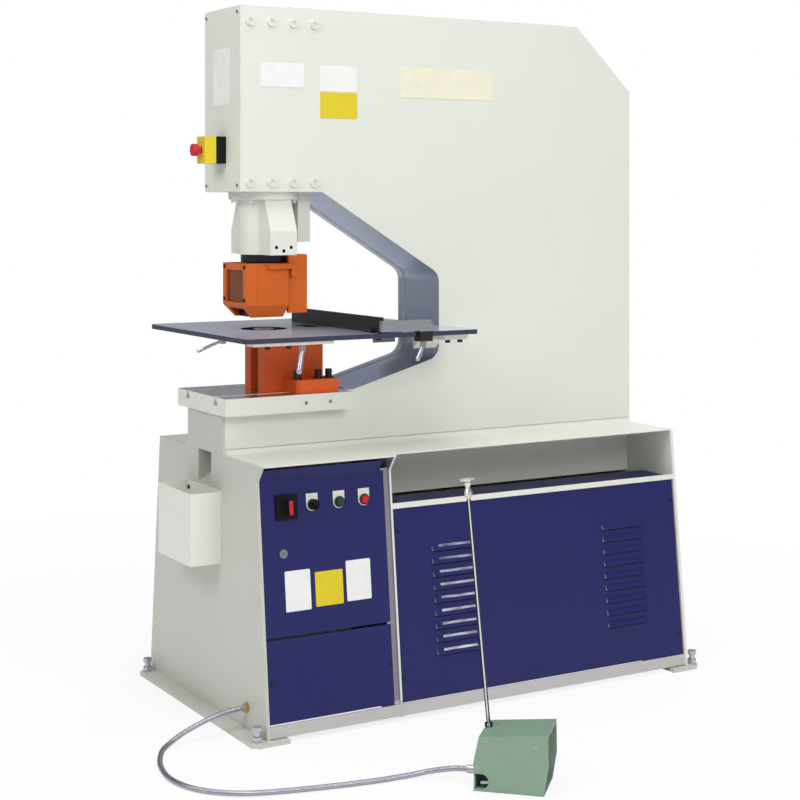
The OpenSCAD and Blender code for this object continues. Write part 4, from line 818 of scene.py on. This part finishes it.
class PUNCH_OT_hose(bpy.types.Operator):
    """Sweeps the ribbed metal hose along its route"""

    bl_idname = "punch.hose"
    bl_label = "Hose"

    def execute(self, context):
        sizes = context.scene.punch_sizes
        path = smooth_route(HOSE_ROUTE, HOSE_STEPS)
        edges = [(i, i + 1) for i in range(len(path) - 1)]
        host = mesh_object("hose_path", path, [], edges=edges)
        tree, ids = sweep_tree()
        sweeper = host.modifiers.new("sweep", "NODES")
        sweeper.node_group = tree
        sweeper[ids["Radius"]] = sizes.hose / 2
        sweeper[ids["Pitch"]] = sizes.hose_pitch
        sweeper[ids["Step"]] = sizes.hose_pitch / 4
        sweeper[ids["Material"]] = finishes()["hose_steel"]
        hose = evaluated(host, "metal_hose")
        length = sum((b - a).length for a, b in zip(path, path[1:]))
        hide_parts("hose")
        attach(hose, "frame")
        return {"FINISHED"}


def screw_tree():
    """The node tree that sets a head on every point, and its inputs' identifiers."""
    tree, ids = nodes_tree(
        "screw_row", [("Head", "NodeSocketObject"), ("Material", "NodeSocketMaterial")])
    n = plant(
        tree, given="NodeGroupInput", out="NodeGroupOutput", info="GeometryNodeObjectInfo",
        points="GeometryNodeInstanceOnPoints", aims="GeometryNodeInputNamedAttribute",
        sizes="GeometryNodeInputNamedAttribute", turn="FunctionNodeAlignRotationToVector",
        real="GeometryNodeRealizeInstances", coat="GeometryNodeSetMaterial")
    n.aims.data_type = "FLOAT_VECTOR"
    n.aims.inputs["Name"].default_value = "aim"
    n.sizes.data_type = "FLOAT"
    n.sizes.inputs["Name"].default_value = "size"
    n.turn.axis = "Z"
    chain(
        tree,
        (n.given, "Geometry", n.points, "Points"), (n.given, "Head", n.info, "Object"),
        (n.info, "Geometry", n.points, "Instance"), (n.aims, "Attribute", n.turn, "Vector"),
        (n.turn, 0, n.points, "Rotation"), (n.sizes, "Attribute", n.points, "Scale"),
        (n.points, 0, n.real, 0), (n.real, 0, n.coat, "Geometry"),
        (n.given, "Material", n.coat, "Material"), (n.coat, 0, n.out, "Geometry"))
    return tree, ids


def screw_group(name, body, places, material):
    """Screws at (place, aim, radius), set by a node tree and turned into one mesh."""
    host = mesh_object(name + "_places", [p for p, _, _ in places], [])
    aim = host.data.attributes.new("aim", "FLOAT_VECTOR", "POINT")
    aim.data.foreach_set("vector", [v for _, direction, _ in places for v in direction])
    size = host.data.attributes.new("size", "FLOAT", "POINT")
    size.data.foreach_set("value", [radius for _, _, radius in places])
    tree, ids = screw_tree()
    head = screw_head()
    setter = host.modifiers.new("screws", "NODES")
    setter.node_group = tree
    setter[ids["Head"]] = head
    setter[ids["Material"]] = material
    row = evaluated(host, name)
    bpy.data.objects.remove(head)
    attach(row, body)


class PUNCH_OT_fasteners(bpy.types.Operator):
    """Sets the screws of the panels, the head cover and the window, and the foot switch's rivets"""

    bl_idname = "punch.fasteners"
    bl_label = "Fasteners"

    def execute(self, context):
        sizes = context.scene.punch_sizes
        stock = finishes()
        panels = [
            (on_panel(x, s, -set_back), PANEL_OUT, sizes.panel_screw)
            for spots, set_back in ((LOWER_SCREWS, DOOR_SET), (PUMP_SCREWS, PUMP_SET))
            for x, s in spots
        ]
        panels.append((BOX_SCREW, FORWARD, sizes.panel_screw))
        screw_group("panel_screws", "frame", panels, stock["black_oxide"])
        low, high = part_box("head_front_cover")
        cover = [
            (Vector((low[0], y, z)), FORWARD, sizes.cover_screw)
            for y in (low[1] + COVER_INSET_Y, high[1] - COVER_INSET_Y)
            for z in (low[2] + COVER_INSET_Z, high[2] - COVER_INSET_Z)
        ]
        screw_group("cover_screws", "frame", cover, stock["bright_steel"])
        low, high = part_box("stripper_guard")
        window = [
            (Vector((low[0], y, z)), FORWARD, sizes.panel_screw)
            for y in (-WINDOW_SCREW_Y, WINDOW_SCREW_Y)
            for z in (low[2] + WINDOW_INSET_Z[0], high[2] - WINDOW_INSET_Z[1])
        ]
        screw_group("window_screws", "stripper", window, stock["black_oxide"])
        rivets = [(Vector(spot), PEDAL_FACE, sizes.rivet) for spot in PEDAL_RIVETS]
        screw_group("pedal_rivets", "frame", rivets, stock["bright_steel"])
        return {"FINISHED"}


def bare_plate(name, body, centre, axes, width, height, corner, finish):
    """A plain plate that goes with a body."""
    piece = slab(name, centre, axes, width, height, corner, finishes()[finish])
    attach(piece, body)


class PUNCH_OT_plates(bpy.types.Operator):
    """Lays the bare plates and plain colour fields on the head and the door"""

    bl_idname = "punch.plates"
    bl_label = "Bare plates"

    def execute(self, context):
        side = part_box("side_plate_near")[0][1]
        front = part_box("head_front_cover")[0][0]
        for name, x0, x1, z0, z1, finish in SIDE_PLATES:
            bare_plate(name, "frame", Vector(((x0 + x1) / 2, side, (z0 + z1) / 2)),
                       (ALONG, UP, NEAR), x1 - x0, z1 - z0, SIDE_CORNER, finish)
        bare_plate("front_plate", "frame", Vector((front, *FRONT_PLATE_AT)),
                   (NEAR, UP, FORWARD), *FRONT_PLATE_SIZE, FRONT_CORNER, "white_film")
        for name, x0, x1, s0, s1, finish in DOOR_PLATES:
            bare_plate(name, "door", on_panel((x0 + x1) / 2, (s0 + s1) / 2, -DOOR_SET),
                       (ALONG, PANEL_UP, PANEL_OUT), x1 - x0, s1 - s0, DOOR_CORNER, finish)
        return {"FINISHED"}


def set_floor():
    """A white floor that glows for the camera, so that only soft shadows show."""
    corners = [(-1, -1), (1, -1), (1, 1), (-1, 1)]
    floor = mesh_object(
        "floor", [(x * FLOOR_HALF, y * FLOOR_HALF, 0) for x, y in corners], [(0, 1, 2, 3)])
    floor.location.z = -FLOOR_DROP
    web = Web("floor_white", Roughness=0.9)
    web.set(Base_Color=web.mix(
        (0.86, 0.86, 0.86, 1), (0.88, 0.88, 0.88, 1), web.noise(web.place(), 0.6)))
    glow = web.add("ShaderNodeEmission", {"Color": (1, 1, 1, 1), "Strength": 1.0})
    seen = web.add("ShaderNodeLightPath", output="Is Camera Ray")
    body = Sock(web, web.shader.outputs[0])
    reach = web.add("ShaderNodeVectorMath", {0: web.place()}, output="Value", operation="LENGTH")
    share = reach.math("MINIMUM", reach * FLOOR_GLOW_RISE + FLOOR_GLOW, 1.0)
    mixed = web.add("ShaderNodeMixShader", {0: seen * share, 1: body, 2: glow})
    web.feed(web.tree.nodes["Material Output"].inputs["Surface"], mixed)
    floor.data.materials.append(web.material)


def set_sky(scene):
    """A pale sky that is dimmer in mirrors and white behind the machine."""
    world = bpy.data.worlds.new("studio")
    scene.world = world
    world.use_nodes = True
    tree = world.node_tree
    tree.nodes.clear()
    n = plant(
        tree, rays="ShaderNodeLightPath", lit="ShaderNodeBackground", dim="ShaderNodeBackground",
        shown="ShaderNodeBackground", gloss="ShaderNodeMixShader", mixer="ShaderNodeMixShader",
        sink="ShaderNodeOutputWorld")
    for node, strength in ((n.lit, SKY_LIT), (n.dim, SKY_MIRRORED)):
        node.inputs["Color"].default_value = SKY_TINT
        node.inputs["Strength"].default_value = strength
    n.shown.inputs["Color"].default_value = (1, 1, 1, 1)
    chain(
        tree,
        (n.rays, "Is Glossy Ray", n.gloss, 0), (n.lit, 0, n.gloss, 1), (n.dim, 0, n.gloss, 2),
        (n.rays, "Is Camera Ray", n.mixer, 0), (n.gloss, 0, n.mixer, 1),
        (n.shown, 0, n.mixer, 2), (n.mixer, 0, n.sink, "Surface"))


def set_lamps():
    for name, place, size, power in LAMPS:
        lamp = bpy.data.lights.new(name, "AREA")
        lamp.shape = "DISK"
        lamp.size = size
        lamp.energy = power
        obj = link(bpy.data.objects.new(name, lamp))
        obj.location = place
        obj.rotation_euler = (LAMP_AIM - Vector(place)).to_track_quat("-Z", "Y").to_euler()


def set_camera(scene):
    lens = bpy.data.cameras.new("camera")
    lens.lens = CAMERA_LENS
    lens.sensor_width = CAMERA_SENSOR
    lens.shift_y = CAMERA_SHIFT
    lens.clip_end = CAMERA_REACH
    camera = link(bpy.data.objects.new("camera", lens))
    camera.location = CAMERA_AT
    camera.rotation_euler = (math.radians(90), 0, math.radians(CAMERA_TURN))
    scene.camera = camera


class PUNCH_OT_stage(bpy.types.Operator):
    """Sets the floor, the light, the background and the camera"""

    bl_idname = "punch.stage"
    bl_label = "Studio"

    def execute(self, context):
        scene = context.scene
        set_floor()
        set_sky(scene)
        set_lamps()
        set_camera(scene)
        scene.view_settings.view_transform = "Standard"
        return {"FINISHED"}


class PUNCH_PT_panel(bpy.types.Panel):
    """Builds the machine's pieces one by one"""

    bl_idname = "PUNCH_PT_panel"
    bl_label = "Punching machine"
    bl_space_type = "VIEW_3D"
    bl_region_type = "UI"
    bl_category = "Punch"

    def draw(self, context):
        layout = self.layout
        for group in (context.scene.punch_colours, context.scene.punch_sizes):
            box = layout.box()
            for key in group.bl_rna.properties.keys():
                if key not in ("rna_type", "name"):
                    box.prop(group, key)
        for step in STEPS:
            layout.operator(step.bl_idname)


STEPS = (PUNCH_OT_finishes, PUNCH_OT_hose, PUNCH_OT_fasteners, PUNCH_OT_plates, PUNCH_OT_stage)
CLASSES = (PUNCH_PG_colours, PUNCH_PG_sizes) + STEPS + (PUNCH_PT_panel,)


def register():
    for cls in CLASSES:
        bpy.utils.register_class(cls)
    bpy.types.Scene.punch_colours = bpy.props.PointerProperty(type=PUNCH_PG_colours)
    bpy.types.Scene.punch_sizes = bpy.props.PointerProperty(type=PUNCH_PG_sizes)


def unregister():
    del bpy.types.Scene.punch_sizes
    del bpy.types.Scene.punch_colours
    for cls in reversed(CLASSES):
        bpy.utils.unregister_class(cls)


def main():
    register()
    bpy.ops.punch.finishes()
    bpy.ops.punch.hose()
    bpy.ops.punch.fasteners()
    bpy.ops.punch.plates()
    bpy.ops.punch.stage()


if __name__ == "__main__":
    main()
